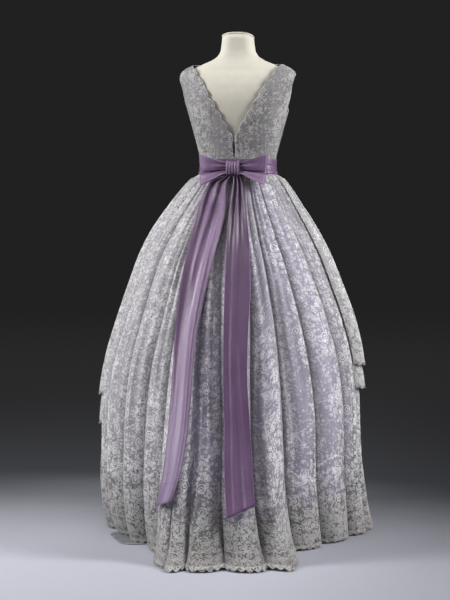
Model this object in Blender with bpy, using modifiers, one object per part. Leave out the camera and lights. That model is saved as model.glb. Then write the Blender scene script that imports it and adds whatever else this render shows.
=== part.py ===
"""Ball gown of floral lace over lilac, with a satin sash and bow, on a limbless dress form.

Metres, +Z up. The gown faces -Y, so its back, bow and train are towards +Y, and the
wearer's left is +X. The origin is the middle of the stand's underside, on the floor.
Each cloth wall is lofted through rows of points that functions work out from the tables
below: the outer face first, and the inner face at the wall's thickness inside it.
"""

import math

import bpy
from mathutils import Vector

NAME = "lace_ball_gown_on_dress_form"

# Walls and clearances
LACE_WALL = 0.0015
FOLDED_WALL = 0.0020
SATIN_WALL = 0.0015
TAPE_WALL = 0.0010
SEAM_GAP = 0.0004
LAYER_GAP = 0.00035

# Dress form: a row for each section, upwards from the cut below the hips
FORM_COLUMNS = ("height", "half_width", "back", "front")
FORM = (
    (0.860, 0.1480, 0.098, 0.080),
    (0.930, 0.1580, 0.108, 0.088),
    (1.000, 0.1420, 0.094, 0.085),
    (1.060, 0.1200, 0.078, 0.078),
    (1.115, 0.1105, 0.070, 0.074),
    (1.148, 0.1125, 0.071, 0.079),
    (1.176, 0.1190, 0.075, 0.087),
    (1.213, 0.1285, 0.082, 0.101),
    (1.250, 0.1385, 0.089, 0.115),
    (1.287, 0.1490, 0.094, 0.120),
    (1.324, 0.1600, 0.096, 0.113),
    (1.361, 0.1680, 0.092, 0.098),
    (1.385, 0.1720, 0.084, 0.085),
    (1.398, 0.1690, 0.078, 0.076),
    (1.410, 0.1550, 0.071, 0.068),
    (1.421, 0.1330, 0.065, 0.061),
    (1.431, 0.1080, 0.059, 0.056),
    (1.442, 0.0820, 0.054, 0.053),
    (1.456, 0.0620, 0.050, 0.052),
    (1.480, 0.0510, 0.047, 0.051),
    (1.535, 0.0455, 0.045, 0.049),
)
FORM_SQUARENESS = 2.35
FORM_SIDES = 36
FORM_INSET = 0.0012
SHOULDER_INSET = 0.0044
SHOULDER_BAND = (1.360, 1.428)
FORM_RINGS = (
    0.860, 0.930, 1.010, 1.060, 1.090, 1.115, 1.140, 1.176, 1.250, 1.287, 1.335, 1.365, 1.385,
    1.398, 1.408, 1.419, 1.431, 1.446, 1.470,
)
NECK_TOP = 1.513
NECK_SLANT = 0.24
CAP_THICKNESS = 0.0045
CAP_OVERHANG = 0.0012

# Stand
POLE_RADIUS = 0.0125
COLLAR_RADIUS = 0.024
COLLAR_HEIGHT = 0.035
BASE_RADIUS = 0.145
BASE_HEIGHT = 0.016
BASE_EDGE = 0.004

# Bodice: wall over the form, with the V of the back and the scoop of the front
BODICE_OFFSET = 0.0025
BODICE_FOOT = 1.1135
V_FOOT = 1.194
SHOULDER_INNER = 1.4205
STRAP_HALF_X = 0.132
STRAP_STAND_OFF = 0.0055
ZIP_OPENING = 0.0026
EDGE_SCALLOP = 0.0052
SCALLOP_PITCH = 0.038
UNDERARM = 1.275
ARMHOLE_COLUMNS = ("share", "height", "back_angle", "front_angle")
ARMHOLE = (
    (0.00, 1.2750, 90.0, 90.0),
    (0.15, 1.2830, 86.5, 96.0),
    (0.30, 1.3000, 83.0, 110.0),
    (0.50, 1.3270, 80.5, 119.0),
    (0.70, 1.3560, 80.0, 120.0),
    (0.88, 1.3830, 82.0, 114.0),
    (1.00, 1.3975, 90.0, 90.0),
)
NECKLINE_COLUMNS = ("share", "half_x", "height")
FRONT_NECKLINE = (
    (0.00, 0.000, 1.338),
    (0.25, 0.040, 1.342),
    (0.50, 0.078, 1.358),
    (0.75, 0.110, 1.385),
    (1.00, 0.132, 1.4205),
)
# Rows below the V and the scoop: the height in the middle and at the side seam
BACK_LOW = ((1.1135, 1.1135), (1.140, 1.140), (1.168, 1.168), (V_FOOT, 1.195))
FRONT_LOW = ((1.1135, 1.1135), (1.140, 1.140), (1.190, 1.180), (1.240, 1.210), (1.290, 1.232), (1.338, 1.250))
BACK_HIGH_ROWS = 20
FRONT_HIGH_ROWS = 7
BACK_COLUMNS = 6
FRONT_COLUMNS = 8
STRAP_LINING = (1.345, 1.393)
STRAP_LINING_SHOWS = 0.006
STRAP_LINING_HIDDEN = 0.010

# Zip in the centre back
ZIP_TAPE_HALF_WIDTH = 0.008
ZIP_TOP = 1.1900
SLIDER_SIZE = (0.0040, 0.0022, 0.0085)

# Sash and bow
SASH_COLUMNS = ("height", "stand_off")
SASH = (
    (1.0955, 0.0084),
    (1.1025, 0.0066),
    (1.1040, 0.0057),
    (1.1120, 0.0064),
    (1.1195, 0.0056),
    (1.1300, 0.0060),
    (1.1410, 0.0054),
)
SASH_SIDES = 36
BOW_HEIGHT = 1.1130
BOW_Y = 0.0943
BOW_LEAN = 0.68
BOW_LEAN_FROM = 1.104
KNOT_HALF_WIDTH = 0.0205
KNOT_HALF_HEIGHT = 0.0235
KNOT_HALF_DEPTH = 0.0130
KNOT_SIDES = 12
KNOT_PLEATS = 5
KNOT_PLEAT_DEPTH = 0.0014
LOOP_COLUMNS = ("reach", "top", "foot", "half_depth")
LOOP = (
    (0.0130, 0.0140, -0.0140, 0.0040),
    (0.0330, 0.0195, -0.0190, 0.0088),
    (0.0550, 0.0268, -0.0300, 0.0115),
    (0.0780, 0.0335, -0.0410, 0.0105),
    (0.0975, 0.0420, -0.0500, 0.0062),
)
LOOP_CREASE_AT = 0.36
LOOP_CREASE_DEPTH = 0.0035
LOOP_LEAN = 0.0080
LOOP_TURN = 0.0045
LOOP_LEAST_HALF_DEPTH = 0.0040
LOOP_STEPS = 6
LOOP_BANDS = 6

# Tails: a row for each height, the middle's x, the width and how far it stands off the folds
TAIL_COLUMNS = ("height", "middle_x", "width", "stand_off")
LEFT_TAIL = (
    (1.0879, 0.0165, 0.027, 0.0050),
    (1.0650, 0.0420, 0.060, 0.0055),
    (0.9780, 0.0520, 0.085, 0.0050),
    (0.8420, 0.0740, 0.084, 0.0040),
    (0.7300, 0.0890, 0.077, 0.0040),
    (0.6180, 0.0980, 0.068, 0.0040),
    (0.5070, 0.1000, 0.065, 0.0040),
    (0.3900, 0.1030, 0.065, 0.0040),
    (0.2580, 0.1120, 0.062, 0.0070),
    (0.1770, 0.1290, 0.060, 0.0080),
)
RIGHT_TAIL = (
    (1.0877, -0.0145, 0.023, 0.0050),
    (1.0650, -0.0210, 0.031, 0.0055),
    (0.9780, -0.0280, 0.050, 0.0050),
    (0.8420, -0.0405, 0.070, 0.0040),
    (0.7300, -0.0465, 0.074, 0.0040),
    (0.6180, -0.0490, 0.070, 0.0040),
    (0.5070, -0.0540, 0.068, 0.0040),
    (0.3900, -0.0640, 0.071, 0.0040),
    (0.2580, -0.0750, 0.078, 0.0060),
    (0.1470, -0.0880, 0.074, 0.0080),
)
LEFT_TAIL_SLANT = -0.20
RIGHT_TAIL_SLANT = -0.45
TAIL_PLEATS = 2.5
TAIL_PLEAT_DEPTH = 0.0060
TAIL_ROWS = 15
TAIL_BANDS = 6

# Skirt: the outer reach of the folds at each height, and how far the train is let out
SKIRT_COLUMNS = ("height", "half_width", "back", "front", "fold_depth", "train_share", "squareness")
SKIRT = (
    (1.1120, 0.1137, 0.0735, 0.0775, 0.0000, 0.00, 2.35),
    (1.0980, 0.1168, 0.0760, 0.0800, 0.0010, 0.00, 2.35),
    (1.0840, 0.1380, 0.0900, 0.0960, 0.0050, 0.00, 2.25),
    (1.0470, 0.1700, 0.1190, 0.1230, 0.0090, 0.00, 2.12),
    (1.0000, 0.2030, 0.1530, 0.1530, 0.0125, 0.00, 2.04),
    (0.9550, 0.2340, 0.1860, 0.1820, 0.0150, 0.00, 2.00),
    (0.8930, 0.2680, 0.2250, 0.2180, 0.0175, 0.00, 2.00),
    (0.8320, 0.2950, 0.2620, 0.2520, 0.0195, 0.01, 2.00),
    (0.7700, 0.3170, 0.2880, 0.2770, 0.0210, 0.02, 2.00),
    (0.6470, 0.3570, 0.3280, 0.3180, 0.0245, 0.06, 2.00),
    (0.5240, 0.3860, 0.3550, 0.3480, 0.0275, 0.12, 2.00),
    (0.4000, 0.3980, 0.3690, 0.3660, 0.0300, 0.21, 2.00),
    (0.2470, 0.4040, 0.3760, 0.3780, 0.0330, 0.39, 2.00),
    (0.1550, 0.4130, 0.3800, 0.3840, 0.0350, 0.52, 2.00),
    (0.0600, 0.4180, 0.3830, 0.3880, 0.0370, 0.71, 2.00),
    (0.0300, 0.4190, 0.3840, 0.3890, 0.0380, 0.82, 2.00),
    (0.0000, 0.4200, 0.3850, 0.3900, 0.0380, 1.00, 2.00),
)
# The petticoats carry the skirt a little towards the wearer's left
SWAY_COLUMNS = ("height", "shift")
SWAY = (
    (1.098, 0.000),
    (1.050, 0.004),
    (1.000, 0.008),
    (0.900, 0.012),
    (0.700, 0.011),
    (0.500, 0.017),
    (0.220, 0.021),
    (0.080, 0.012),
    (0.000, 0.000),
)
HEM_COLUMNS = ("angle", "radius")
HEM = (
    (-180.0, 0.392),
    (-140.0, 0.402),
    (-111.0, 0.430),
    (-90.0, 0.414),
    (-78.0, 0.390),
    (-62.0, 0.378),
    (-50.0, 0.382),
    (-38.0, 0.408),
    (-32.0, 0.452),
    (-27.0, 0.545),
    (-22.0, 0.632),
    (-12.0, 0.622),
    (0.0, 0.628),
    (9.0, 0.645),
    (14.0, 0.590),
    (18.0, 0.530),
    (26.0, 0.445),
    (36.0, 0.390),
    (45.0, 0.388),
    (60.0, 0.372),
    (74.0, 0.380),
    (85.0, 0.410),
    (100.0, 0.422),
    (140.0, 0.402),
    (180.0, 0.392),
)
# Folds: a row for each valley, with its angle near the waist, its angle near the hem,
# the depth of the fold that follows it and where that fold's crest lies
FOLD_COLUMNS = ("high_angle", "low_angle", "depth_share", "crest")
FOLDS = (
    (-176.0, -177.0, 0.80, 0.50),
    (-163.0, -166.0, 0.95, 0.60),
    (-150.0, -155.0, 0.75, 0.40),
    (-137.0, -144.0, 1.00, 0.50),
    (-124.0, -133.0, 0.85, 0.60),
    (-110.5, -121.0, 0.95, 0.40),
    (-98.0, -111.0, 0.80, 0.50),
    (-87.0, -100.0, 0.90, 0.45),
    (-75.5, -89.0, 0.85, 0.40),
    (-61.8, -76.3, 1.00, 0.45),
    (-42.9, -53.3, 1.15, 0.28),
    (-29.5, -33.8, 1.25, 0.26),
    (-18.0, -17.0, 0.90, 0.45),
    (0.7, -5.5, 1.15, 0.72),
    (10.0, 5.2, 0.80, 0.50),
    (17.0, 11.0, 0.70, 0.50),
    (23.5, 22.0, 1.05, 0.70),
    (31.0, 36.0, 1.10, 0.60),
    (48.9, 53.0, 0.90, 0.72),
    (62.3, 71.0, 0.80, 0.60),
    (78.5, 86.0, 0.85, 0.50),
    (94.0, 101.0, 0.90, 0.50),
    (107.0, 113.0, 0.95, 0.40),
    (120.0, 126.0, 0.80, 0.55),
    (133.0, 139.0, 1.00, 0.50),
    (146.0, 151.0, 0.75, 0.60),
    (159.0, 162.0, 0.90, 0.40),
    (171.0, 172.5, 0.85, 0.50),
)
FOLD_SAMPLES = (0.0, 0.15, 0.5, 0.85)
FOLD_ROUNDNESS = 0.62
FOLDS_HIGH = 0.950
FOLDS_LOW = 0.250
SKIRT_RINGS = (1.112, 1.098, 1.083, 1.010, 0.880, 0.700, 0.470, 0.260, 0.120, 0.032, 0.0)
SKIRT_FOOT = 0.0036
HEM_NOTCH = 0.009
SIDE_SEAM = 97.0

# Front tiers: each falls from its head to a hem that slants across the front
TIER_COLUMNS = ("name", "hem_left", "hem_right", "stand_off_head", "stand_off_hem", "heights")
TIERS = (
    ("lace_tier_upper", 0.405, 0.512, 0.0026, 0.0135, (1.083, 1.010, 0.880, 0.700)),
    ("lace_tier_lower", 0.312, 0.440, 0.0002, 0.0072, (0.660,)),
)
TIER_SIDE = 92.0
TIER_NOTCH = 0.010

# Underskirt and petticoat, plain tubes inside the valleys of the lace
UNDER_HEIGHTS = (1.070, 1.040, 0.990, 0.880, 0.700, 0.470, 0.260)
UNDERSKIRT_FOOT = 0.030
UNDERSKIRT_SIDES = 32
VALLEY_TURNS = (-30.0, -20.0, -12.0, -6.0, 0.0, 6.0, 12.0, 20.0, 30.0)
UNDERSKIRT_CLEARANCE = 0.0040
PETTICOAT_CLEARANCE = 0.0080
UNDERSKIRT_HEAD_CLEARANCE = -0.0006
PETTICOAT_HEAD_CLEARANCE = 0.0008
PETTICOAT_SHOWS = (36.0, 72.0)
PETTICOAT_REACH = 0.030
PETTICOAT_LIP = 0.004

COLOURS = {
    "lace": (0.56, 0.54, 0.57, 1.0),
    "lining": (0.52, 0.50, 0.56, 1.0),
    "lilac": (0.44, 0.37, 0.60, 1.0),
    "satin": (0.26, 0.15, 0.33, 1.0),
    "net": (0.35, 0.36, 0.39, 1.0),
    "jersey": (0.80, 0.76, 0.66, 1.0),
    "cap": (0.78, 0.72, 0.60, 1.0),
    "metal": (0.50, 0.50, 0.52, 1.0),
    "zip": (0.40, 0.39, 0.42, 1.0),
    "steel": (0.16, 0.16, 0.17, 1.0),
}


# Tables and curves
def column(rows, columns, name):
    """The values of one named column."""
    place = columns.index(name)
    return [row[place] for row in rows]


def smooth_value(xs, ys, x):
    """The value at x on a smooth curve through the points, which keeps their order."""
    if xs[0] > xs[-1]:
        xs, ys = xs[::-1], ys[::-1]
    if x <= xs[0]:
        return ys[0]
    if x >= xs[-1]:
        return ys[-1]
    i = max(k for k in range(len(xs) - 1) if xs[k] <= x)
    steps = [(ys[k + 1] - ys[k]) / (xs[k + 1] - xs[k]) for k in range(len(xs) - 1)]

    def tangent(k):
        if k in (0, len(xs) - 1):
            return steps[0 if k == 0 else -1]
        before, after = steps[k - 1], steps[k]
        if before * after <= 0.0:
            return 0.0
        return 2.0 * before * after / (before + after)

    span = xs[i + 1] - xs[i]
    t = (x - xs[i]) / span
    low, high = tangent(i) * span, tangent(i + 1) * span
    a = 2 * t**3 - 3 * t**2 + 1
    b = t**3 - 2 * t**2 + t
    c = -2 * t**3 + 3 * t**2
    d = t**3 - t**2
    return a * ys[i] + b * low + c * ys[i + 1] + d * high


def table_value(rows, columns, name, x):
    """A named column's value at x in the first column."""
    return smooth_value(column(rows, columns, columns[0]), column(rows, columns, name), x)


def ease(x):
    """From 0 to 1 with a soft start and end."""
    x = min(max(x, 0.0), 1.0)
    return x * x * (3.0 - 2.0 * x)


# Surfaces
def polar(angle, radius, height):
    """A point at an angle in degrees from the back, towards the wearer's left."""
    turn = math.radians(angle)
    return Vector((radius * math.sin(turn), radius * math.cos(turn), height))


def oval_radius(angle, half_width, back, front, squareness=2.0):
    """The radius of an oval section at an angle."""
    turn = math.radians(angle)
    depth = back if math.cos(turn) > 0.0 else front
    across = abs(math.sin(turn)) / half_width
    along = abs(math.cos(turn)) / depth
    return (across**squareness + along**squareness) ** (-1.0 / squareness)


def form_radius(angle, height):
    sizes = [table_value(FORM, FORM_COLUMNS, name, height) for name in FORM_COLUMNS[1:]]
    return oval_radius(angle, *sizes, squareness=FORM_SQUARENESS)


def form_point(angle, height, offset=0.0):
    """A point on the form, or off it along the surface's normal."""
    point = polar(angle, form_radius(angle, height), height)
    if offset == 0.0:
        return point
    turn, rise = 0.6, 0.0012
    across = polar(angle + turn, form_radius(angle + turn, height), height)
    across -= polar(angle - turn, form_radius(angle - turn, height), height)
    along = polar(angle, form_radius(angle, height + rise), height + rise)
    along -= polar(angle, form_radius(angle, height - rise), height - rise)
    normal = along.cross(across).normalized()
    if normal.dot(Vector((point.x, point.y, 0.0))) < 0.0:
        normal = -normal
    return point + normal * offset


def skirt_polar(angle, radius, height):
    """As polar, round the skirt's own middle, which sways from the form's."""
    point = polar(angle, radius, height)
    point.x += table_value(SWAY, SWAY_COLUMNS, "shift", height)
    return point


def wrap(angle):
    """The same angle between -180 and 180."""
    return (angle + 180.0) % 360.0 - 180.0


def skirt_reach(angle, height):
    """How far the crests of the skirt's folds reach at an angle and height."""
    sizes = [table_value(SKIRT, SKIRT_COLUMNS, name, height) for name in SKIRT_COLUMNS[1:4]]
    squareness = table_value(SKIRT, SKIRT_COLUMNS, "squareness", height)
    floor = [table_value(SKIRT, SKIRT_COLUMNS, name, 0.0) for name in SKIRT_COLUMNS[1:4]]
    let_out = table_value(HEM, HEM_COLUMNS, "radius", wrap(angle)) - oval_radius(angle, *floor)
    share = table_value(SKIRT, SKIRT_COLUMNS, "train_share", height)
    return oval_radius(angle, *sizes, squareness) + share * let_out


def fold_angle(place, height):
    """The angle of a place along the folds, a whole number at each valley."""
    number = len(FOLDS)
    index = math.floor(place)
    part = place - index
    lower = ease((FOLDS_HIGH - height) / (FOLDS_HIGH - FOLDS_LOW))

    def valley(k):
        row = FOLDS[k % number]
        turns = 360.0 * (k // number)
        return row[0] + (row[1] - row[0]) * lower + turns

    return valley(index) + (valley(index + 1) - valley(index)) * part


def fold_height(place):
    """The height of the cloth in its fold, 0 in a valley and 1 on a crest, and the depth's share."""
    number = len(FOLDS)
    index = math.floor(place)
    part = place - index
    row = FOLDS[index % number]
    crest = row[3]
    warped = 0.5 * part / crest if part < crest else 0.5 + 0.5 * (part - crest) / (1.0 - crest)
    before = FOLDS[(index - 1) % number][2]
    after = FOLDS[(index + 1) % number][2]
    at_valley = 0.5 * (row[2] + (before if part < 0.5 else after))
    rise = math.sin(math.pi * min(max(warped, 0.0), 1.0)) ** FOLD_ROUNDNESS
    return rise, at_valley + (row[2] - at_valley) * rise


def skirt_point(place, height, stand_off=0.0):
    """A point of the skirt's outer face, or of a layer that stands off it."""
    angle = fold_angle(place, height)
    rise, share = fold_height(place)
    depth = table_value(SKIRT, SKIRT_COLUMNS, "fold_depth", height) * share
    return skirt_polar(angle, skirt_reach(angle, height) - depth * (1.0 - rise) + stand_off, height)


def hem_point(place):
    """A point of the scalloped hem, on the floor."""
    point = skirt_point(place, 0.0)
    rise, _ = fold_height(place)
    notch = HEM_NOTCH * (1.0 - rise) ** 2
    out = Vector((point.x, point.y, 0.0)).normalized()
    return point - out * notch + Vector((0.0, 0.0, SKIRT_FOOT + 0.5 * notch))


def valley_reach(angle, height):
    """How far out the deepest valley of the skirt comes near an angle."""
    depth = table_value(SKIRT, SKIRT_COLUMNS, "fold_depth", height)
    spread = 0.2 + 0.8 * ease((1.0 - height) / 0.4)
    nearby = [skirt_reach(angle + turn * spread, height) for turn in VALLEY_TURNS]
    return min(nearby) - depth * max(column(FOLDS, FOLD_COLUMNS, "depth_share"))


# Objects
def material(colour, roughness, metallic=0.0):
    """A plain material of the named colour."""
    known = bpy.data.materials.get(colour)
    if known:
        return known
    made = bpy.data.materials.new(colour)
    made.use_nodes = True
    shader = made.node_tree.nodes["Principled BSDF"]
    shader.inputs["Base Color"].default_value = COLOURS[colour]
    shader.inputs["Roughness"].default_value = roughness
    shader.inputs["Metallic"].default_value = metallic
    made.diffuse_color = COLOURS[colour]
    return made


def place_mesh(name, points, faces, colour, roughness=0.8, metallic=0.0):
    """A named object of the given points and faces."""
    mesh = bpy.data.meshes.new(name)
    mesh.from_pydata([tuple(p) for p in points], [], faces)
    mesh.validate()
    piece = bpy.data.objects.new(name, mesh)
    bpy.data.collections[NAME].objects.link(piece)
    mesh.materials.append(material(colour, roughness, metallic))
    return piece


def loft(rows, closed=False):
    """Points and triangles of a surface through rows of points; rows run upwards, points leftwards."""
    width = len(rows[0])
    points = [point for row in rows for point in row]
    faces = []
    for i in range(len(rows) - 1):
        for j in range(width if closed else width - 1):
            k = (j + 1) % width
            low, high = i * width, (i + 1) * width
            faces.append((low + j, low + k, high + k))
            faces.append((low + j, high + k, high + j))
    return points, faces


def outward(points, faces):
    """The faces, turned so that they look away from the Z axis."""
    face = faces[len(faces) // 2]
    a, b, c = (Vector(points[k]) for k in face[:3])
    if (b - a).cross(c - b).dot(Vector((a.x, a.y, 0.0))) < 0.0:
        return [tuple(reversed(f)) for f in faces]
    return faces


def add_wall(piece, thickness):
    """Solidify an outer face inwards."""
    wall = piece.modifiers.new("Wall", "SOLIDIFY")
    wall.thickness = thickness
    wall.offset = -1.0
    wall.use_even_offset = False
    wall.use_rim = True


def inner_rows(rows, thickness):
    """The inner face of a hanging wall, set in along each upright section's own normal."""
    inner = []
    for i, row in enumerate(rows):
        above, below = rows[max(i - 1, 0)], rows[min(i + 1, len(rows) - 1)]
        made = []
        for point, high, low in zip(row, above, below):
            out = Vector((point.x, point.y, 0.0)).normalized()
            rise = high - low
            run = out.dot(rise)
            normal = (out * rise.z - Vector((0.0, 0.0, run))).normalized()
            made.append(point - normal * thickness)
        inner.append(made)
    return inner


def wall(name, outer, inner, colour, closed=False, open_rows=0, roughness=0.8):
    """A closed wall between two faces of rows; the first open_rows of one side stay open for a mirror."""
    width, height = len(outer[0]), len(outer)
    points = [point for row in outer for point in row] + [point for row in inner for point in row]
    under = width * height
    _, faces = loft(outer, closed)
    faces += [tuple(under + k for k in reversed(face)) for face in faces]
    across = width if closed else width - 1
    for j in range(across):
        k = (j + 1) % width
        top = (height - 1) * width
        faces.append((j, under + j, under + k, k))
        faces.append((top + k, under + top + k, under + top + j, top + j))
    if not closed:
        for i in range(height - 1):
            low, high = i * width, (i + 1) * width
            if i >= open_rows:
                faces.append((low, high, under + high, under + low))
            low, high = low + width - 1, high + width - 1
            faces.append((high, low, under + low, under + high))
    a, b, c = (points[k] for k in faces[0][:3])
    if (b - a).cross(c - b).dot(outer[0][0] - inner[0][0]) < 0.0:
        faces = [tuple(reversed(face)) for face in faces]
    return place_mesh(name, points, faces, colour, roughness)


def hanging_wall(name, rows, colour, thickness, closed=False, roughness=0.8):
    """A wall whose outer face goes through rows of points that run downwards."""
    return wall(name, rows, inner_rows(rows, thickness), colour, closed, roughness=roughness)


def cloth(name, rows, colour, thickness, roughness=0.8):
    """A cloth wall whose outer face goes through rows of points."""
    points, faces = loft(rows)
    piece = place_mesh(name, points, outward(points, faces), colour, roughness)
    add_wall(piece, thickness)
    return piece


def solid_of_rings(name, rings, colour, roughness=0.8, metallic=0.0):
    """A closed solid through rings that run upwards, anticlockwise from above."""
    points, faces = loft(rings, closed=True)
    width = len(rings[0])
    faces.append(tuple(reversed(range(width))))
    faces.append(tuple(range(len(points) - width, len(points))))
    return place_mesh(name, points, faces, colour, roughness, metallic)


def turned(name, profile, colour, sides, roughness, metallic=0.0):
    """A solid turned about the Z axis from a profile that runs down its outer side."""
    mesh = bpy.data.meshes.new(name)
    edges = [(i, i + 1) for i in range(len(profile) - 1)]
    mesh.from_pydata([(radius, 0.0, height) for radius, height in profile], edges, [])
    piece = bpy.data.objects.new(name, mesh)
    bpy.data.collections[NAME].objects.link(piece)
    mesh.materials.append(material(colour, roughness, metallic))
    screw = piece.modifiers.new("Turn", "SCREW")
    screw.steps = sides
    screw.render_steps = sides
    screw.use_merge_vertices = True
    screw.merge_threshold = 0.0001
    return piece


# Dress form and stand
def form_ring(height, sides=FORM_SIDES):
    """A ring of the form, just inside the surface that the cloth is measured from."""
    low, high = SHOULDER_BAND
    inset = FORM_INSET + SHOULDER_INSET * ease((height - low) / 0.025) * ease((high - height) / 0.012)
    return [form_point(-360.0 * k / sides, height, -inset) for k in range(sides)]


def slanted_ring(height, grow=0.0):
    """A ring round the neck on the plane that drops towards the front."""
    ring = []
    for k in range(FORM_SIDES):
        angle = -360.0 * k / FORM_SIDES
        level = height
        for _ in range(4):
            point = polar(angle, form_radius(angle, level) + grow, level)
            level = height + NECK_SLANT * point.y
        ring.append(Vector((point.x, point.y, level)))
    return ring


def dress_form():
    rings = [form_ring(height) for height in FORM_RINGS]
    rings.append(slanted_ring(NECK_TOP - CAP_THICKNESS))
    solid_of_rings("form_torso", rings, "jersey", 0.75)
    low = NECK_TOP - CAP_THICKNESS + LAYER_GAP
    cap = [
        slanted_ring(low, CAP_OVERHANG - 0.0008),
        slanted_ring(low + 0.0012, CAP_OVERHANG),
        slanted_ring(NECK_TOP - 0.0008, CAP_OVERHANG),
        slanted_ring(NECK_TOP + LAYER_GAP, CAP_OVERHANG - 0.0016),
    ]
    solid_of_rings("form_neck_cap", cap, "cap", 0.6)


def stand():
    bottom = FORM_RINGS[0] - LAYER_GAP
    foot = BASE_HEIGHT + LAYER_GAP
    pole = [
        (0.0, bottom),
        (COLLAR_RADIUS, bottom),
        (COLLAR_RADIUS, bottom - COLLAR_HEIGHT),
        (POLE_RADIUS, bottom - COLLAR_HEIGHT - 0.008),
        (POLE_RADIUS, foot + COLLAR_HEIGHT + 0.008),
        (COLLAR_RADIUS, foot + COLLAR_HEIGHT),
        (COLLAR_RADIUS, foot),
        (0.0, foot),
    ]
    turned("form_pole", pole, "steel", 20, 0.4, 0.6)
    base = [
        (0.0, BASE_HEIGHT),
        (BASE_RADIUS - BASE_EDGE, BASE_HEIGHT),
        (BASE_RADIUS, BASE_HEIGHT - BASE_EDGE),
        (BASE_RADIUS, 0.0),
        (0.0, 0.0),
    ]
    turned("form_base", base, "steel", 32, 0.4, 0.6)


# Bodice
def scallop(distance):
    """The wave of a scalloped edge, 0 in its notches and 1 at its tips."""
    return abs(math.sin(math.pi * distance / SCALLOP_PITCH))


def angle_at_x(half_x, height, middle=0.0, reach=90.0):
    """The angle where the form's section has a given x, searched from its middle line outwards."""
    near, far = 0.0, reach
    toward = 1.0 if middle == 0.0 else -1.0
    for _ in range(40):
        halfway = 0.5 * (near + far)
        if form_point(middle + toward * halfway, height).x < half_x:
            near = halfway
        else:
            far = halfway
    return middle + toward * 0.5 * (near + far)


def back_v_edge(share):
    """Angle and height on the edge of the back's V, from its foot to the shoulder."""
    height = V_FOOT + (SHOULDER_INNER - V_FOOT) * share
    half_x = STRAP_HALF_X * share**1.06 + ZIP_OPENING
    length = share * math.hypot(STRAP_HALF_X, SHOULDER_INNER - V_FOOT)
    half_x -= EDGE_SCALLOP * scallop(length) * ease((1.0 - share) * 9.0) * ease(share * 12.0)
    if share >= 1.0:
        return 90.0, height
    return angle_at_x(half_x, height), height


def front_neck_edge(share):
    """Angle and height on the front neckline, from its middle to the shoulder."""
    half_x = table_value(FRONT_NECKLINE, NECKLINE_COLUMNS, "half_x", share)
    height = table_value(FRONT_NECKLINE, NECKLINE_COLUMNS, "height", share)
    if share >= 1.0:
        return 90.0, height
    return angle_at_x(half_x, height, middle=180.0), height


def bodice_offset(angle, height):
    """How far the bodice's outer face lies off the form; the straps stand out past it."""
    side = abs(math.sin(math.radians(angle))) ** 6
    return BODICE_OFFSET + LACE_WALL + STRAP_STAND_OFF * side * ease((height - 1.345) / 0.04)


def bodice_rows(front, depth):
    """Rows of points of half a panel, from the middle to the side, upwards, at a depth in its wall."""
    low = FRONT_LOW if front else BACK_LOW
    high_rows = FRONT_HIGH_ROWS if front else BACK_HIGH_ROWS
    middle_angle = 180.0 if front else 0.0
    rows = []
    for middle_height, side_height in low:
        rows.append(bodice_row((middle_angle, middle_height), (90.0, side_height), front, depth))
    last_side = low[-1][1]
    under = 0.15 if front else 0.30
    for i in range(1, high_rows + 1):
        part = i / high_rows
        inner = front_neck_edge(part) if front else back_v_edge(part)
        if part <= under:
            outer = (90.0, last_side + (UNDERARM - last_side) * part / under)
        else:
            along = (part - under) / (1.0 - under)
            angle = table_value(ARMHOLE, ARMHOLE_COLUMNS, "front_angle" if front else "back_angle", along)
            outer = (angle, table_value(ARMHOLE, ARMHOLE_COLUMNS, "height", along))
        rows.append(bodice_row(inner, outer, front, depth))
    return rows


def bodice_row(inner, outer, front, depth):
    """Points across a panel between two places on the form."""
    row = []
    columns = FRONT_COLUMNS if front else BACK_COLUMNS
    for j in range(columns + 1):
        part = j / columns
        angle = inner[0] + (outer[0] - inner[0]) * part
        height = inner[1] + (outer[1] - inner[1]) * part
        point = form_point(angle, height, bodice_offset(angle, height) - depth)
        if angle == 90.0:
            point.y = -0.5 * SEAM_GAP if front else 0.5 * SEAM_GAP
        if j == 0 and inner[0] in (0.0, 180.0):
            point.x = 0.0 if front else zip_edge(height)
        row.append(point)
    return row


def zip_edge(height):
    """Half the opening between the back's two edges, widest at the foot of the V."""
    return 0.5 * SEAM_GAP + ZIP_OPENING * ease((height - 1.135) / (V_FOOT - 1.135))


def bodice():
    outer, inner = (bodice_rows(front=False, depth=depth) for depth in (0.0, LACE_WALL))
    for side, sign in (("left", 1.0), ("right", -1.0)):
        faces = [[[Vector((sign * p.x, p.y, p.z)) for p in row] for row in rows] for rows in (outer, inner)]
        wall("bodice_back_" + side, *faces, "lace")
    outer, inner = (bodice_rows(front=True, depth=depth) for depth in (0.0, LACE_WALL))
    front = wall("bodice_front", outer, inner, "lace", open_rows=len(FRONT_LOW) - 1)
    mirror = front.modifiers.new("Other half", "MIRROR")
    mirror.merge_threshold = 0.0001


def strap_linings():
    """The plain lining that shows as a narrow strip along each strap's inner edge."""
    low, high = STRAP_LINING
    rows = []
    for i in range(6):
        height = low + (high - low) * i / 5
        share = (height - V_FOOT) / (SHOULDER_INNER - V_FOOT)
        half_x = STRAP_HALF_X * share**1.06
        shows = STRAP_LINING_SHOWS * math.sin(math.pi * (i + 0.6) / 6.2)
        inner = angle_at_x(half_x - shows, height)
        outer = angle_at_x(half_x + STRAP_LINING_HIDDEN, height, reach=89.0)
        steps = [inner + (outer - inner) * k / 3 for k in range(4)]
        rows.append([form_point(angle, height, BODICE_OFFSET - LAYER_GAP) for angle in steps])
    for side, sign in (("left", 1.0), ("right", -1.0)):
        placed = [[Vector((sign * p.x, p.y, p.z)) for p in row] for row in rows]
        cloth("strap_lining_" + side, placed, "lining", TAPE_WALL)


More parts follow.
